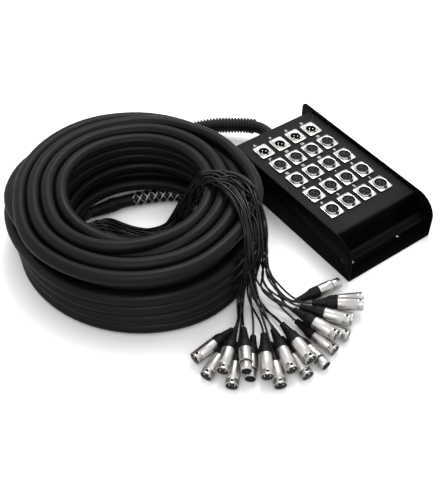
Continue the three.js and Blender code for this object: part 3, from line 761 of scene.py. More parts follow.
# Right and left edges of the loose sheet of cords, over the coil and down its side
CURTAIN = (
    ((-0.3223, 0.1634, 0.0085), (-0.3443, 0.1549, 0.0085)),
    ((-0.3076, 0.1434, 0.0080), (-0.3295, 0.1322, 0.0080)),
    ((-0.2932, 0.1201, 0.0080), (-0.3118, 0.1055, 0.0080)),
    ((-0.2775, 0.1021, 0.0100), (-0.2899, 0.0858, 0.0090)),
    ((-0.2615, 0.0919, 0.0170), (-0.2599, 0.0814, 0.0120)),
    ((-0.2479, 0.0911, 0.0280), (-0.2342, 0.0785, 0.0200)),
    ((-0.2385, 0.0877, 0.0500), (-0.2225, 0.0733, 0.0400)),
    ((-0.2307, 0.0793, 0.0750), (-0.2134, 0.0686, 0.0650)),
    ((-0.2235, 0.0678, 0.1020), (-0.2088, 0.0593, 0.0920)),
    ((-0.2185, 0.0539, 0.1260), (-0.2094, 0.0471, 0.1180)),
    ((-0.2118, 0.0380, 0.1450), (-0.2152, 0.0281, 0.1410)),
    ((-0.1975, 0.0297, 0.1495), (-0.2131, 0.0068, 0.1485)),
    ((-0.1835, 0.0210, 0.1505), (-0.2111, -0.0128, 0.1490)),
    ((-0.1737, 0.0091, 0.1500), (-0.2126, -0.0321, 0.1475)),
    ((-0.1698, -0.0068, 0.1475), (-0.2183, -0.0518, 0.1440)),
    ((-0.1724, -0.0260, 0.1430), (-0.2255, -0.0693, 0.1360)),
    ((-0.1804, -0.0476, 0.1340), (-0.2345, -0.0840, 0.1240)),
    ((-0.1906, -0.0711, 0.1190), (-0.2395, -0.0920, 0.1070)),
    ((-0.1988, -0.0896, 0.0970), (-0.2421, -0.0945, 0.0856)),
    ((-0.2006, -0.0967, 0.0700), (-0.2469, -0.0965, 0.0624)),
    ((-0.2005, -0.1001, 0.0430), (-0.2502, -0.0980, 0.0402)),
    ((-0.2064, -0.1005, 0.0200), (-0.2532, -0.0988, 0.0180)),
)

# Rows of the sheet between which a cord wanders: how far across it, and how far in and out of it
WANDER = (
    (0, 0.12, -0.005, 0.005),
    (4, 0.4, -0.006, 0.006),
    (10, 0.5, -0.006, 0.002),
    (13, 0.35, -0.009, 0),
    (17, 0.42, -0.003, 0.007),
    (21, 0.12, -0.002, 0.008),
)

# How the cords settle
CORD_POINTS = 200
CORD_SPACING = CORD * 1.1
CORD_CLEARANCE = 0.0002
SETTLE_STEPS = 36
PUSH = 1.3
EASE_PASSES = 8
STIFFNESS = 0.2
HELD_AT_BUNDLE = 4
RELEASE_RAMP = 8
PLUG_MARKS = 26

# The fan of plugs, from left to right: the place of each boot's tip from the fan's centre in plug
# lengths, the plug's bearing in degrees, whether it lies on its neighbours, and its kind
FAN_CENTRE = Vector((-0.232, -0.138))
FAN = (
    (-0.84, -0.053, -172, True, "male"),
    (-0.947, -0.187, -156, False, "male"),
    (-0.86, -0.147, -139.8, True, "male"),
    (-0.907, -0.333, -134, False, "male"),
    (-0.733, -0.253, -124, True, "female"),
    (-0.573, -0.36, -130.5, False, "female"),
    (-0.467, -0.533, -123.5, True, "male"),
    (-0.413, -0.68, -117, False, "male"),
    (-0.247, -0.547, -107.5, True, "male"),
    (-0.16, -0.707, -99, False, "male"),
    (-0.053, -0.573, -95.5, True, "male"),
    (0.073, -0.72, -88, False, "female"),
    (0.347, -0.447, -75, True, "male"),
    (0.333, -0.56, -82, False, "male"),
    (0.487, -0.533, -65, False, "male"),
    (0.507, -0.44, -56, True, "male"),
    (0.593, -0.427, -48, False, "male"),
    (0.793, -0.48, -37.5, True, "male"),
    (0.907, -0.413, -28, False, "male"),
    (0.693, -0.173, -7, False, "female"),
)
LIFTED = [index for index, (*_, lifted, _) in enumerate(FAN) if lifted]
PLUG_GROUPS = {
    "male_plugs_1_to_4": (0, 1, 2, 3),
    "male_plugs_7_to_11": (6, 7, 8, 9, 10),
    "male_plugs_13_and_14": (12, 13),
    "male_plugs_15_to_19": (14, 15, 16, 17, 18),
}


def group_of(index):
    return next((name for name, members in PLUG_GROUPS.items() if index in members), None)


def plug_plan(index):
    x_share, y_share, bearing, _, _ = FAN[index]
    angle = math.radians(bearing)
    tip = FAN_CENTRE + Vector((x_share, y_share)) * PLUG_LENGTH
    return tip, Vector((math.cos(angle), math.sin(angle)))


def plug_widths(index, count=50):
    tip, axis = plug_plan(index)
    for distance in spread_out(0, PLUG_LENGTH, count + 1):
        share = min(distance / BOOT_TO_SHELL, 1)
        yield tip + axis * distance, BOOT_TIP + (SHELL_RADIUS - BOOT_TIP) * share


def lift_over(upper, lower):
    together = group_of(upper) is not None and group_of(upper) == group_of(lower)
    gap = -PLUG_PRESS if together else PLUG_CLEARANCE
    under = list(plug_widths(lower))
    most = 0
    for place, radius in plug_widths(upper):
        for other, wide in under:
            most = max(most, (radius + wide + gap) ** 2 - (place - other).length_squared)
    return math.sqrt(most)


def plug_height(index):
    rest = SHELL_RADIUS + GROUND_GAP
    if index not in LIFTED:
        return rest
    return rest + max(lift_over(index, k) for k in range(len(FAN)) if k not in LIFTED)


def plug_matrix(index):
    """A plug's frame: +Z along its axis away from the cord, +Y up."""
    tip, axis = plug_plan(index)
    along = Vector((axis.x, axis.y, 0))
    across = UP.cross(along)
    place = Vector((tip.x, tip.y, plug_height(index)))
    return Matrix((
        (across.x, UP.x, along.x, place.x),
        (across.y, UP.y, along.y, place.y),
        (across.z, UP.z, along.z, place.z),
        (0, 0, 0, 1),
    ))


plug_places = [plug_matrix(index) for index in range(len(FAN))]


def bundle_slots():
    """Places of the 20 cords in the bundle's section: one in the middle and two rings."""
    slots = [(0, 0)]
    for count, radius in ((6, 1.03 * CORD), (13, BUNDLE_RADIUS - CORD / 2)):
        for k in range(count):
            angle = 2 * math.pi * k / count
            slots.append((radius * math.cos(angle), radius * math.sin(angle)))
    return slots


def curtain_places(index, drawn):
    """A cord's own way through the sheet: it changes places with others and stands in and out."""
    last = len(CURTAIN) - 1
    knots = [
        (row, drawn.uniform(-aside, aside), drawn.uniform(inner, outer))
        for row, aside, inner, outer in WANDER
    ]
    leave = last - drawn.choice((0, 0, 1, 1, 2))
    for k in range(leave + 1):
        (row, shift, loft), (next_row, next_shift, next_loft) = next(
            pair for pair in zip(knots, knots[1:]) if k <= pair[1][0]
        )
        blend = smoothstep(k, row, next_row)
        share = (index + 1 / 2) / len(FAN) + shift + (next_shift - shift) * blend
        right, left = (Vector(p) for p in CURTAIN[k])
        before, after = CURTAIN[max(k - 1, 0)], CURTAIN[min(k + 1, last)]
        heading = Vector(after[0]) + Vector(after[1]) - Vector(before[0]) - Vector(before[1])
        out = heading.cross(right - left).normalized()
        share = abs(share) if share < 1 / 2 else 1 - abs(1 - share)
        yield left.lerp(right, share) + out * (loft + (next_loft - loft) * blend)


def cord_lines():
    """A first line for each thin cord, from the breakout boot over the coil and into its plug."""
    drawn = random.Random(11)
    reach = length_of(bundle_line) * BUNDLE_REACH
    rings = stations(bundle_line, spread_out(BUNDLE_START, reach, BUNDLE_RINGS))
    _, _, across, rise = rings[-1]
    side = Vector(CURTAIN[0][0]) - Vector(CURTAIN[0][1])
    slots = sorted(bundle_slots(), key=lambda s: (across * s[0] + rise * s[1]).dot(side))
    lines = []
    for index, (u, v) in enumerate(slots):
        _, _, sideways, top = rings[0]
        root = boot_mouth - tail_heading * CORD_IN_BREAKOUT
        points = [root + sideways * u * BUNDLE_SQUEEZE + top * v * BUNDLE_SQUEEZE]
        points += [place + sideways * u + top * v for place, _, sideways, top in rings]
        points += curtain_places(index, drawn)
        matrix = plug_places[index]
        axis = matrix.to_3x3() @ UP
        entry = matrix.translation
        start = points[-1]
        heading = (Vector((entry.x - start.x, entry.y - start.y, 0)).normalized() - UP).normalized()
        pull = (entry - start).length * CORD_PULL
        for t in (0.2, 0.4, 0.6, 0.8):
            rest = 1 - t
            place = (
                start * rest ** 3 + (start + heading * pull) * 3 * rest * rest * t
                + (entry - axis * pull) * 3 * rest * t * t + entry * t ** 3
            )
            place.z = max(place.z, CORD)
            points.append(place)
        points += [entry, entry + axis * CORD_IN_BOOT]
        lines.append(spline(points, 0.004))
    return lines


def tree_of(places):
    tree = KDTree(len(places))
    for i, place in enumerate(places):
        tree.insert(place, i)
    tree.balance()
    return tree


def plug_obstacles():
    """Points along every plug, with the plug's index and its radius there."""
    marks = []
    for index, matrix in enumerate(plug_places):
        for distance in spread_out(0, PLUG_LENGTH, PLUG_MARKS):
            share = min(distance / BOOT_TO_SHELL, 1)
            radius = BOOT_TIP + (SHELL_RADIUS - BOOT_TIP) * share
            marks.append((matrix @ (UP * distance), index, radius))
    return marks


def eased(pushes):
    """Spreads each push along its cord, so that the cord gives way in one smooth curve."""
    for _ in range(EASE_PASSES):
        pushes[:, 1:-1] = pushes[:, 1:-1] / 2 + (pushes[:, 2:] + pushes[:, :-2]) / 4
    return pushes


def settled(lines):
    """Moves the cords off each other, the coil, the plugs and the floor; their ends are held."""
    strands = numpy.array([[tuple(p) for p in evenly(line, CORD_POINTS)] for line in lines])
    free = numpy.zeros((len(lines), CORD_POINTS, 1))
    for index, line in enumerate(lines):
        held = math.ceil((CORD_IN_BOOT + LINE_STEP) * CORD_POINTS / length_of(line))
        for k in range(CORD_POINTS):
            inward = min(k - HELD_AT_BUNDLE, CORD_POINTS - held - k)
            free[index, k] = smoothstep(inward, 0, RELEASE_RAMP)
    trunk_tree = tree_of(evenly(trunk_line, round(length_of(trunk_line) / LINE_STEP)))
    marks = plug_obstacles()
    plug_tree = tree_of([place for place, _, _ in marks])
    clear = TRUNK / 2 + CORD / 2 + CORD_CLEARANCE
    floor = CORD / 2 + 3 * GROUND_GAP
    ceiling = cad_high.z - CORD
    for _ in range(SETTLE_STEPS):
        places = strands.reshape(-1, 3)
        tree = tree_of(places)
        pushes = numpy.zeros_like(places)
        for i, place in enumerate(places):
            spot = Vector(place)
            push = Vector((0, 0, 0))
            for other, j, apart in tree.find_range(spot, CORD_SPACING):
                if j // CORD_POINTS != i // CORD_POINTS and apart > 0:
                    push += (spot - other) / apart * (CORD_SPACING - apart) / 2
            near, _, apart = trunk_tree.find(spot)
            if apart < clear:
                push += (spot - near) / apart * (clear - apart)
            for other, k, apart in plug_tree.find_range(spot, SHELL_RADIUS + CORD / 2):
                _, plug, radius = marks[k]
                if plug != i // CORD_POINTS and apart < radius + CORD / 2:
                    push += (spot - other) / apart * (radius + CORD / 2 - apart) / 2
            pushes[i] = push
        pushes = pushes.reshape(strands.shape)
        heading = numpy.gradient(strands, axis=1)
        heading /= numpy.linalg.norm(heading, axis=2, keepdims=True)
        pushes -= heading * (pushes * heading).sum(axis=2, keepdims=True)
        heights = strands[..., 2]
        pushes[..., 2] += numpy.maximum(floor - heights, 0) - numpy.maximum(heights - ceiling, 0)
        strands += eased(pushes) * PUSH * free
        middle = (strands[:, 2:] + strands[:, :-2]) / 2
        strands[:, 1:-1] += (middle - strands[:, 1:-1]) * STIFFNESS * free[:, 1:-1]
    strands[..., 2] = numpy.clip(strands[..., 2], floor, ceiling)
    return [spline([Vector(place) for place in strand]) for strand in strands]


trunk_line = [
    relief_mouth - Vector((0, 0.014, 0)), *lead_line, coil_first, *coil_line, coil_last, *tail_line,
]
cords = settled(cord_lines())


# Trunk cable
trunk = tube("trunk_cable", trunk_line, TRUNK / 2, 16)
finished(trunk, "trunk_cable", jacket_rubber, "cable_jacket")
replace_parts(trunk, "trunk_lead", "trunk_coil", "trunk_tail")

for number, line in enumerate(cords, 1):
    cord = tube(f"fan_cord_{number:02d}", line, CORD / 2, 10)
    finished(cord, cord.name, cord_vinyl, "cord_jacket")
    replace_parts(cord, "fan_cords")


# Sleeves on the trunk
def make_guard():
    """Ribbed guard round the lead."""
    ribs = round(GUARD_LENGTH / RIB_PITCH)
    distances = []
    radii = []
    for rib in range(ribs):
        for along, out in RIB_SHARES:
            distances.append(GUARD_START + (rib + along) * GUARD_LENGTH / ribs)
            radii.append((GUARD_ROOT + (GUARD_CREST - GUARD_ROOT) * out) / GUARD_CREST)
    distances.append(GUARD_START + GUARD_LENGTH)
    radii.append(GUARD_ROOT / GUARD_CREST)
    places = places_along(lead_line, distances)
    guard = to_mesh(tube("bend_guard_sleeve", places, GUARD_CREST, 32, radii[:len(places)]))
    finished(guard, "bend_guard_sleeve", guard_plastic, "guard_plastic")
    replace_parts(guard, "bend_guard")
    return guard


def make_grip():
    """Woven grip round the tail: flat strands wind both ways, over and under each other."""
    curve = round_curve("grip", GRIP_WIRE, 6)
    rings = stations(tail_line, spread_out(GRIP_START, GRIP_START + GRIP_LENGTH, GRIP_STATIONS))
    for way in (1, -1):
        for k in range(GRIP_STRANDS):
            for aside in GRIP_WIRES:
                points = []
                for i, (place, heading, across, rise) in enumerate(rings):
                    share = k / GRIP_STRANDS + way * GRIP_TURNS * i / (len(rings) - 1)
                    turn = 2 * math.pi * share
                    reach = GRIP_RADIUS + way * GRIP_WIRE * math.cos(GRIP_STRANDS * turn)
                    out = across * math.cos(turn) + rise * math.sin(turn)
                    spot = place + out * reach + heading * aside
                    spot.z = max(spot.z, GRIP_FLOOR)
                    points.append(spot)
                add_line(curve, points)
    grip = to_mesh(in_scene("grip", curve))
    finished(grip, "cable_grip_wires", grip_wire, "grip_wire")
    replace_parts(grip, "cable_grip")
    return grip


def make_breakout_boot():
    """Tapered boot with rings over the trunk's end."""
    profile = [(0.0098, -0.012), (0.0112, -0.011), (0.0117, -0.006), (0.0117, 0.002)]
    for k in range(5):
        start = 0.004 + 0.0045 * k
        radius = 0.0114 - 0.0004 * k
        profile += [(radius - 0.0009, start), (radius - 0.0009, start + 0.0012)]
        profile += [(radius, start + 0.0017), (radius, start + 0.004)]
    profile += [(0.0092, 0.029), (0.0088, BOOT_LENGTH)]
    turn = UP.rotation_difference(tail_heading).to_matrix().to_4x4()
    boot = softened(turned(profile, 40), 0.0003, 2, 30)
    moved(boot, Matrix.Translation(tail_line[-1]) @ turn)
    finished(boot, "breakout_boot_sleeve", boot_rubber, "cable_jacket")
    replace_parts(boot, "breakout_boot")
    return boot


def make_relief():
    """Strain relief in the back wall."""
    profile = [
        (0.0108, -0.008), (0.0108, FIT), (0.016, FIT), (0.016, 0.0034), (0.0154, 0.004),
        (0.0125, 0.004),
    ]
    for k in range(3):
        start = 0.006 + 0.004 * k
        profile += [(0.0125, start), (0.0114, start + 0.0003)]
        profile += [(0.0114, start + 0.0017), (0.0124, start + 0.002)]
    profile += [(0.0118, 0.0192), (0.0114, 0.02)]
    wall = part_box("top_cover")[1].y - BACK_FOOT
    relief = softened(turned(profile, 48), 0.0003, 2, 30)
    moved(relief, Matrix.Translation((relief_mouth.x, wall, relief_mouth.z)) @ TO_BACK)
    finished(relief, "strain_relief_gland", relief_plastic, "guard_plastic")
    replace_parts(relief, "strain_relief")
    return relief


guard = make_guard()
grip = make_grip()
breakout = make_breakout_boot()
relief = make_relief()


# Box
tray_low, tray_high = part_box("chassis_tray")
cover_low, cover_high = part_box("top_cover")
handle_low, handle_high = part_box("carry_handle")
handle_middle = (handle_low + handle_high) / 2
handle_line = Matrix.Translation((0, handle_middle.y, handle_middle.z)) @ TO_SIDE
front_wall = cover_low.y + FRONT_FOOT
back_wall = cover_high.y - BACK_FOOT
panel_top = cover_high.z


def make_tray():
    size = tray_high - tray_low
    tray = block(size, (tray_low + tray_high) / 2)

    def top_edge(y):
        return lambda a, b: min(a.z, b.z) > tray_high.z - FIT and abs(a.y - y) + abs(b.y - y) < FIT

    def base_side(a, b):
        return max(a.z, b.z) < tray_low.z + FIT and abs(a.y - b.y) > size.y / 2

    round_edges(tray, top_edge(tray_low.y), FRONT_CORNER, 20)
    round_edges(tray, top_edge(tray_high.y), BACK_CORNER, 10)
    round_edges(tray, base_side, FOLD_RADIUS, 4)
    inside = block(
        (size.x - 2 * SHEET, size.y * 1.2, size.z * 1.2),
        (0, 0, tray_low.z + SHEET + size.z * 0.6),
    )
    bores = [
        rod(BOLT_HOLE, -size.x, size.x, 32),
        rod(RECESS_RADIUS, tray_high.x - RECESS_DEPTH, tray_high.x + 0.001, 40),
        rod(RECESS_RADIUS, tray_low.x - 0.001, tray_low.x + RECESS_DEPTH, 40),
    ]
    cut(tray, inside, *[moved(bore, handle_line) for bore in bores])
    softened(tray, 0.0005, 2, 40)
    finished(tray, "chassis_tray_shell", shaded_powder_coat, "black_powder_coat")
    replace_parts(tray, "chassis_tray")


def make_cover():
    """One sheet: front foot, front wall, panel, back wall and back foot, folded from a strip."""
    width = cover_high.x - cover_low.x
    foot = cover_low.z + SHEET
    cover = added(bpy.ops.mesh.primitive_plane_add, size=1)
    bpy.ops.object.mode_set(mode="EDIT")
    bpy.ops.mesh.select_all(action="SELECT")
    bpy.ops.transform.resize(value=(width, FRONT_FOOT, 1), center_override=(0, 0, 0))
    bpy.ops.transform.translate(value=(0, cover_low.y + FRONT_FOOT / 2, foot))
    select_where(cover, "EDGE", lambda edge: all(v.co.y > front_wall - FIT for v in edge.verts))
    for step in (
        (0, 0, panel_top - foot),
        (0, back_wall - front_wall, 0),
        (0, 0, foot - panel_top),
        (0, BACK_FOOT, 0),
    ):
        bpy.ops.mesh.extrude_region_move(TRANSFORM_OT_translate={"value": step})
    bpy.ops.object.mode_set(mode="OBJECT")

    def is_fold(a, b):
        on_wall = any(abs(a.y - wall) < FIT for wall in (front_wall, back_wall))
        return on_wall and abs(a.x - b.x) > width / 2

    round_edges(cover, is_fold, FOLD_RADIUS, 5)
    only(cover)
    bpy.ops.object.mode_set(mode="EDIT")
    bpy.ops.mesh.select_all(action="SELECT")
    bpy.ops.mesh.normals_make_consistent(inside=False)
    bpy.ops.object.mode_set(mode="OBJECT")
    top = max(cover.data.polygons, key=lambda face: face.area)
    modified(cover, "SOLIDIFY", thickness=SHEET, offset=-1 if top.normal.z > 0 else 1)
    bores = [
        moved(drill(BODY_RADIUS + FIT, 32), Matrix.Translation(connector_centre(node)))
        for node in CONNECTOR_NODES
    ]
    cable_exit = Matrix.Translation((relief_mouth.x, back_wall, relief_mouth.z)) @ TO_BACK
    cut(cover, joined(*bores, moved(drill(EXIT_RADIUS, 32), cable_exit)))
    softened(cover, 0.0003, 2, 40)
    finished(cover, "top_cover_sheet", lit_panel_coat, "black_powder_coat")
    # The panel face gets the lighter copy as painted light. The faces below it, the front and back
    # walls and the feet, get the darker copy as painted shade.
    cover.data.materials.append(shaded_powder_coat)
    for face in cover.data.polygons:
        if face.center.z < panel_top - FOLD_RADIUS:
            face.material_index = 1
    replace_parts(cover, "top_cover")


def make_handle():
    """Bar between the side plates, with a bolt in each end."""
    half = handle_high.x - SHEET - FIT
    profile = [
        (HANDLE_RADIUS - HANDLE_EDGE, -half), (HANDLE_RADIUS, -half + HANDLE_EDGE),
        (HANDLE_RADIUS, half - HANDLE_EDGE), (HANDLE_RADIUS - HANDLE_EDGE, half),
    ]
    bar = smoothed(moved(turned(profile, 56), handle_line), 30)
    finished(bar, "handle_bar", shaded_powder_coat, "black_powder_coat")
    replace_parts(bar, "carry_handle")
    head = softened(turned(BOLT_HEAD, 40), 0.00015, 2, 30)
    cut(head, rod(BOLT_SOCKET, -0.001, 0.001, 6))
    head = smoothed(joined(head, rod(BOLT_SHANK, -SHEET, -0.001, 24)), 30)
    for side, name in ((1, "right"), (-1, "left")):
        place = Matrix.Translation((side * (handle_high.x - FIT), handle_middle.y, handle_middle.z))
        bolt = placed(head, place @ Matrix.Rotation(side * math.pi / 2, 4, "Y"))
        finished(bolt, f"handle_bolt_{name}", bolt_steel, "nickel")
    put_away(head)


def make_pan_screw(radius, height):
    """Round head with a cross recess."""
    head = turned([
        (radius, 0), (radius, height * 0.35), (radius * 0.86, height * 0.75),
        (radius * 0.5, height * 0.97), (radius * 0.1, height),
    ], 28)
    for turn in (0, math.pi / 2):
        slot = block((radius * 1.15, radius * 0.26, height), (0, 0, height * 1.05))
        cut(head, moved(slot, Matrix.Rotation(turn, 4, "Z")))
    return smoothed(head, 35)


# Panel connectors
CONNECTOR_NODES = [f"return_inlet_{letter}" for letter in "abcd"]
CONNECTOR_NODES += [f"input_socket_{number:02d}" for number in range(1, 17)]


def connector_centre(node):
    low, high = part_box(node)
    return Vector(((low.x + high.x) / 2, (low.y + high.y) / 2, panel_top))


def make_flange():
    low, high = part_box("input_socket_01")
    size = (high.x - low.x, high.y - low.y, FLANGE_THICK)
    flange = rounded_block(size, (0, 0, FIT + FLANGE_THICK / 2), FLANGE_CORNER, 6)
    cut(flange, drill(BODY_RADIUS, 48))
    return softened(flange, 0.00035, 2, 40)


def make_body(top, bore, floor):
    """A connector's round body through the panel, open from its top down to a floor."""
    profile = [
        (BODY_RADIUS - 0.0005, -BODY_FOOT), (BODY_RADIUS, 0.0005 - BODY_FOOT),
        (BODY_RADIUS, top - 0.0006), (BODY_RADIUS - 0.0005, top),
        (bore + 0.0005, top), (bore, top - 0.0005), (bore, floor),
    ]
    return smoothed(turned(profile, 56), 50)


def at_contacts(profile, sides, flip=1):
    """A turned shape at each contact, joined; a socket's contacts are a plug's, flipped."""
    shapes = []
    for x, y in CONTACTS:
        shapes.append(moved(turned(profile, sides), Matrix.Translation((x, y * flip, 0))))
    return joined(*shapes)


def make_socket_insert(top):
    """Insert with three contact holes and the keyway between them."""
    floor = top + 0.0006 - PLUG_BORE_DEPTH
    profile = [
        (INSERT_RADIUS, floor), (INSERT_RADIUS, top - 0.0004), (INSERT_RADIUS - 0.0004, top),
    ]
    insert = turned(profile, 48)
    holes = at_contacts([
        (CONTACT_HOLE, top - 0.006), (CONTACT_HOLE, top - 0.0004), (0.0019, top + 0.0002),
    ], 20, flip=-1)
    key = block((0.0022, 0.0024, 0.01), (0, INSERT_RADIUS, top))
    cut(insert, holes, key)
    return smoothed(insert, 35)


def make_groove_lining(top):
    """Black sheet on the wall and floor of the groove that a plug's nose goes into: painted shade
    down in the groove.
    """
    floor = top - PLUG_BORE_DEPTH
    wall = PLUG_BORE - 0.0001
    profile = [
        (wall, floor + 0.0001), (wall, top - 0.0003), (wall - 0.0004, top - 0.0003),
        (wall - 0.0004, floor + 0.0004),
    ]
    return smoothed(turned(profile, 48), 40)


def make_inlet_lining(top, floor):
    """Black sheet in an inlet's bore, with its floor. The floor is the insert's own black face, and
    the black on the bore's wall is painted shade.
    """
    wall = INLET_BORE - 0.0002
    profile = [
        (wall, floor + 0.0001), (wall, top - 0.0012), (wall - 0.0005, top - 0.0008),
        (wall - 0.0009, top - 0.0012), (wall - 0.0009, floor + 0.0016),
    ]
    return smoothed(turned(profile, 48), 40)


def make_pins(floor, top):
    profile = [
        (CONTACT_RADIUS, floor), (CONTACT_RADIUS, top - 0.0009),
        (CONTACT_RADIUS * 0.8, top - 0.0003), (CONTACT_RADIUS * 0.35, top),
    ]
    return smoothed(at_contacts(profile, 16), 35)


def latch_place():
    """A latch's size, and its middle from its socket's centre."""
    low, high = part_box("input_latch_01")
    return high - low, (low + high) / 2 - connector_centre("input_socket_01")


def make_latch():
    size, middle = latch_place()
    latch = rounded_block(size, middle, 0.0007, 3)
    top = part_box("input_latch_01")[1].z - panel_top
    cut(latch, block((size.x * 0.7, size.y * 0.3, 0.0005), (0, middle.y, top)))
    return softened(latch, 0.0002, 2, 40)


def latch_slot():
    """The opening through a socket's flange and collar that its latch sinks into."""
    size, middle = latch_place()
    height = 0.01
    return block((size.x + 2 * FIT, size.y + 2 * FIT, height), (0, middle.y, height / 2))


def make_label(text, centre):
    letters = added(bpy.ops.object.text_add).data
    letters.body = text
    letters.size = LABEL_SIZE
    letters.extrude = LABEL_DEPTH
    letters.offset = LABEL_WEIGHT
    letters.align_x = "CENTER"
    letters.align_y = "CENTER"
    bpy.ops.object.convert(target="MESH")
    return moved(bpy.context.object, Matrix.Translation(centre + LABEL_SHIFT + UP * LABEL_GAP))


def connector_parts():
    """Patterns of an inlet's and a socket's parts, standing at the origin."""
    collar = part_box("input_socket_01")[1].z - panel_top
    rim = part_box("return_inlet_a")[1].z - panel_top
    inlet_floor = rim - INLET_DEPTH
    inlet_flange = make_flange()
    socket_flange = make_flange()
    cut(socket_flange, latch_slot())
    socket_body = make_body(collar, PLUG_BORE, collar - PLUG_BORE_DEPTH)
    cut(socket_body, latch_slot())
    socket_insert = make_socket_insert(collar - 0.0006)
    socket_groove = make_groove_lining(collar)
    inlet_body = make_body(rim, INLET_BORE, inlet_floor)
    notch_place = (0, -0.0098, rim - 0.0005)
    cut(inlet_body, block(NOTCH_SIZE, notch_place))
    # A black block fills the notch: painted shade in the hollow.
    notch_shade = block(NOTCH_SHADE, notch_place)
    bore_shade = make_inlet_lining(rim, inlet_floor)
    pins = make_pins(inlet_floor, rim - 0.002)
    head = make_pan_screw(*FLANGE_SCREW)
    seat = FIT + FLANGE_THICK - 0.0001
    heads = [placed(head, Matrix.Translation((x, y, seat))) for x, y in FLANGE_SCREWS]
    put_away(head)
    screws = ("flange_screws", joined(*heads), screw_steel, "nickel")
    return {
        "return_inlet": (
            ("flange", inlet_flange, nickel, "nickel"),
            screws,
            ("inlet_body", inlet_body, nickel, "nickel"),
            ("inlet_lining", bore_shade, insert_plastic_and_bore_shade, "cable_jacket"),
            ("inlet_notch", notch_shade, insert_plastic_and_bore_shade, "cable_jacket"),
            ("inlet_pins", pins, contact_metal, "nickel"),
        ),
        "input_socket": (
            ("flange", socket_flange, nickel, "nickel"),
            screws,
            ("socket_body", socket_body, nickel, "nickel"),
            # The groove's black sheet is painted shade.
            ("socket_groove", socket_groove, latch_plastic_and_groove_shade, "cable_jacket"),
            ("socket_insert", socket_insert, insert_plastic_and_bore_shade, "cable_jacket"),
        ),
    }


def make_connectors():
    parts = connector_parts()
    latch = make_latch()
    for node in CONNECTOR_NODES:
        centre = connector_centre(node)
        place = Matrix.Translation(centre)
        kind, mark = node.rsplit("_", 1)
        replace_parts(copies(parts[kind], place, mark)[0], node)
        text = mark.upper()
        if kind == "input_socket":
            text = str(int(mark))
            body = f"input_latch_{mark}"
            tab = placed(latch, place)
            finished(tab, f"latch_tab_{mark}", latch_plastic_and_groove_shade, "cable_jacket", body)
            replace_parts(tab, body)
        finished(make_label(text, centre), f"label_{mark}", label_paint)
    put_away(*patterns_of(parts), latch)


def make_cover_screws():
    head = make_pan_screw(*COVER_SCREW)
    spots = [(x, cover_low.y + FRONT_SCREW_INSET, cover_low.z + SHEET) for x in FRONT_SCREWS]
    spots += [(x, cover_high.y - BACK_SCREW_INSET, cover_low.z + SHEET) for x in BACK_SCREWS]
    for number, spot in enumerate(spots, 1):
        screw = placed(head, Matrix.Translation(spot))
        finished(screw, f"cover_screw_{number}", screw_steel, "nickel")
    put_away(head)


make_tray()
make_cover()
make_handle()
make_connectors()
make_cover_screws()
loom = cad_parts["wiring_loom"]
loom.data.materials.clear()
loom.data.materials.append(loom_sleeve)


# Plugs
shell_floor = PLUG_LENGTH - SHELL_DEPTH
nose_start = PLUG_LENGTH - NOSE_LENGTH


def make_plug_boot():
    """Rubber boot: rings near the cord, then a fluted collar up to the shell."""
    profile = [(0.0028, 0), (0.0042, 0.0003), (0.0046, 0.0012), (0.0047, 0.003)]
    for k in range(5):
        start = 0.0036 + 0.003 * k
        radius = 0.0047 + 0.00045 * k
        profile += [(radius - 0.0008, start), (radius - 0.0007, start + 0.0009)]
        profile += [(radius + 0.0001, start + 0.0013), (radius + 0.0003, start + 0.0027)]
    profile += [(0.0066, 0.0185), (0.0074, 0.0205), (0.0088, 0.0245), (0.0092, 0.0275)]
    profile += [(0.0093, 0.0352), (0.0091, 0.0366), (0.0085, 0.037)]
    boot = turned(profile, PLUG_SIDES)

    def is_flute(face):
        middle = face.calc_center_median()
        turn = math.atan2(middle.y, middle.x) / (2 * math.pi) * PLUG_SIDES
        is_side = FLUTES[0] < middle.z < FLUTES[1] and len(face.verts) == 4
        return is_side and math.floor(turn) % 2 == 0

    only(boot)
    bpy.ops.object.mode_set(mode="EDIT")
    select_where(boot, "FACE", is_flute)
    bpy.ops.mesh.extrude_region_shrink_fatten(
        MESH_OT_extrude_region={}, TRANSFORM_OT_shrink_fatten={"value": -FLUTE_DEPTH}
    )
    bpy.ops.object.mode_set(mode="OBJECT")
    return smoothed(boot, 40)


# A shell's root and the groove near it, in a male and a female plug
SHELL_ROOT = [
    (0.0088, BOOT_TO_SHELL - 0.0004), (0.0093, BOOT_TO_SHELL),
    (SHELL_RADIUS, BOOT_TO_SHELL + 0.0005), (SHELL_RADIUS, 0.0395),
    (0.0093, 0.0397), (0.0093, 0.0402), (SHELL_RADIUS, 0.0404),
]


def make_male_shell():
    profile = [
        *SHELL_ROOT,
        (SHELL_RADIUS, 0.0655), (0.00925, 0.0658), (0.00925, 0.0664), (SHELL_RADIUS, 0.0667),
        (SHELL_RADIUS, PLUG_LENGTH - 0.0005), (SHELL_RADIUS - 0.0005, PLUG_LENGTH),
        (0.0086, PLUG_LENGTH), (0.0083, PLUG_LENGTH - 0.0003), (0.0083, shell_floor),
    ]
    shell = turned(profile, PLUG_SIDES)
    cut(shell, block((0.0042, 0.006, 0.0045), (0, SHELL_RADIUS, 0.0705)))
    return smoothed(shell, 40)


def make_male_insert():
    profile = [
        (0.0081, shell_floor + 0.0001), (0.0081, shell_floor + 0.0012),
        (0.0077, shell_floor + 0.0016),
    ]
    return smoothed(turned(profile, 48), 40)


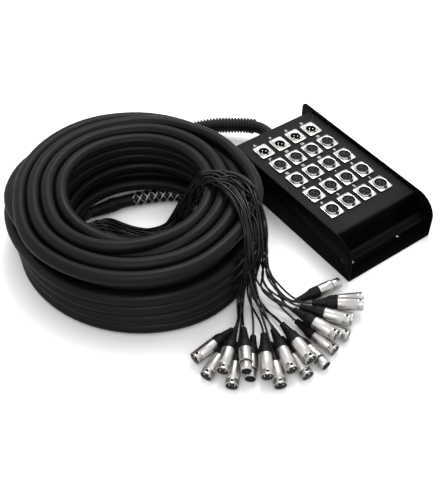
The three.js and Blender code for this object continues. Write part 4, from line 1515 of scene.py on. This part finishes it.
def make_female_shell():
    profile = [
        *SHELL_ROOT,
        (SHELL_RADIUS, nose_start - 0.0006), (SHELL_RADIUS - 0.0006, nose_start),
        (0.0076, nose_start), (0.0076, nose_start + NOSE_RING), (0.0079, nose_start + NOSE_RING),
        (NOSE_RADIUS, nose_start + NOSE_RING + 0.0003),
        (NOSE_RADIUS, PLUG_LENGTH - 0.0005), (NOSE_RADIUS - 0.0004, PLUG_LENGTH),
        (0.0073, PLUG_LENGTH), (0.0073, PLUG_LENGTH - 0.003),
    ]
    shell = turned(profile, PLUG_SIDES)
    width, _, length = BUTTON_SIZE
    slot = (width + 2 * FIT, 2 * BUTTON_SLOT, length + 2 * FIT)
    cut(shell, block(slot, (0, SHELL_RADIUS, nose_start - length / 2)))
    return smoothed(shell, 40)


def make_female_insert():
    top = PLUG_LENGTH - 0.0006
    insert = turned([(0.0072, top - 0.003), (0.0072, top - 0.0003), (0.0069, top)], 40)
    cut(insert, at_contacts([(CONTACT_HOLE, top - 0.0025), (CONTACT_HOLE, top + 0.001)], 20))
    return smoothed(insert, 35)


def make_seal():
    profile = [
        (0.0081, nose_start + 0.0001), (0.0085, nose_start + 0.0003),
        (0.0085, nose_start + 0.0012), (0.0081, nose_start + 0.0014),
    ]
    return smoothed(turned(profile, 40), 40)


def make_button():
    _, height, length = BUTTON_SIZE
    place = (0, SHELL_RADIUS + BUTTON_PROUD - height / 2, nose_start - length / 2)
    return softened(block(BUTTON_SIZE, place), 0.0004, 3, 40)


def make_plugs():
    boot = ("plug_boot", make_plug_boot(), boot_rubber, "cord_jacket")
    parts = {
        "male": (
            boot,
            ("plug_shell", make_male_shell(), shell_nickel, "nickel"),
            ("plug_insert", make_male_insert(), insert_plastic_and_bore_shade, "cord_jacket"),
            ("plug_pins", make_pins(shell_floor, PLUG_LENGTH - 0.002), contact_metal, "nickel"),
        ),
        "female": (
            boot,
            ("plug_shell", make_female_shell(), shell_nickel, "nickel"),
            ("plug_insert", make_female_insert(), insert_plastic_and_bore_shade, "cord_jacket"),
            ("plug_seal", make_seal(), insert_plastic_and_bore_shade, "cord_jacket"),
        ),
    }
    button = make_button()
    for index, (place, (*_, kind)) in enumerate(zip(plug_places, FAN)):
        number = index + 1
        pieces = copies(parts[kind], place, f"{number:02d}")
        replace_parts(pieces[1], group_of(index) or f"female_plug_{number}")
        if kind == "female":
            body = f"female_latch_{number}"
            press = placed(button, place)
            finished(press, f"plug_button_{number:02d}", shell_nickel, "nickel", body)
            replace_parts(press, body)
            pieces.append(press)
        length_of(cords[index])
    put_away(*patterns_of(parts), button)


make_plugs()
length_of(trunk_line)


# Floor and light
def make_floor():
    """A pale floor that glows for the camera where nothing stands near it."""
    floor = added(bpy.ops.mesh.primitive_plane_add, size=FLOOR_SIZE)
    floor.name = "floor"
    material = bpy.data.materials.new("pale floor")
    material.use_nodes = True
    tree = material.node_tree
    seen = add_node(tree, "ShaderNodeLightPath", {}).outputs["Is Camera Ray"]
    openness = add_node(tree, "ShaderNodeAmbientOcclusion", {"Distance": SHADE_REACH}, samples=12)
    shaded = computed(tree, "POWER", openness.outputs["AO"], SHADE_DEPTH)
    glow = computed(tree, "MULTIPLY", seen, shaded)
    fill_inputs(tree, tree.nodes["Principled BSDF"], {
        "Base Color": FLOOR_COLOUR,
        "Roughness": 0.9,
        "Specular IOR Level": 0,
        "Emission Color": WHITE,
        "Emission Strength": computed(tree, "MULTIPLY", glow, FLOOR_GLOW),
    })
    floor.data.materials.append(material)


def make_world():
    """Soft light on the surfaces, and plain white where the camera or a gloss sees past them."""
    world = bpy.data.worlds.new("studio")
    bpy.context.scene.world = world
    world.use_nodes = True
    tree = world.node_tree
    tree.nodes.clear()
    path = add_node(tree, "ShaderNodeLightPath", {}).outputs
    seen = computed(tree, "MAXIMUM", path["Is Camera Ray"], path["Is Glossy Ray"])
    soft = add_node(tree, "ShaderNodeBackground", {"Color": WHITE, "Strength": WORLD_LIGHT})
    white = add_node(tree, "ShaderNodeBackground", {"Color": WHITE, "Strength": 1})
    blend = add_node(tree, "ShaderNodeMixShader", {
        "Fac": computed(tree, "MAXIMUM", seen, path["Is Transmission Ray"]),
        1: soft.outputs["Background"],
        2: white.outputs["Background"],
    })
    add_node(tree, "ShaderNodeOutputWorld", {"Surface": blend.outputs["Shader"]})


def add_lamp(name, place, aim, size, power, gloss):
    lamp = bpy.data.lights.new(name, "AREA")
    lamp.shape = "DISK"
    lamp.size = size
    lamp.energy = power
    lamp.specular_factor = gloss
    aimed(name, lamp, place, aim)


make_floor()
make_world()
for lamp in LAMPS:
    add_lamp(*lamp)
bpy.context.scene.view_settings.view_transform = "Standard"
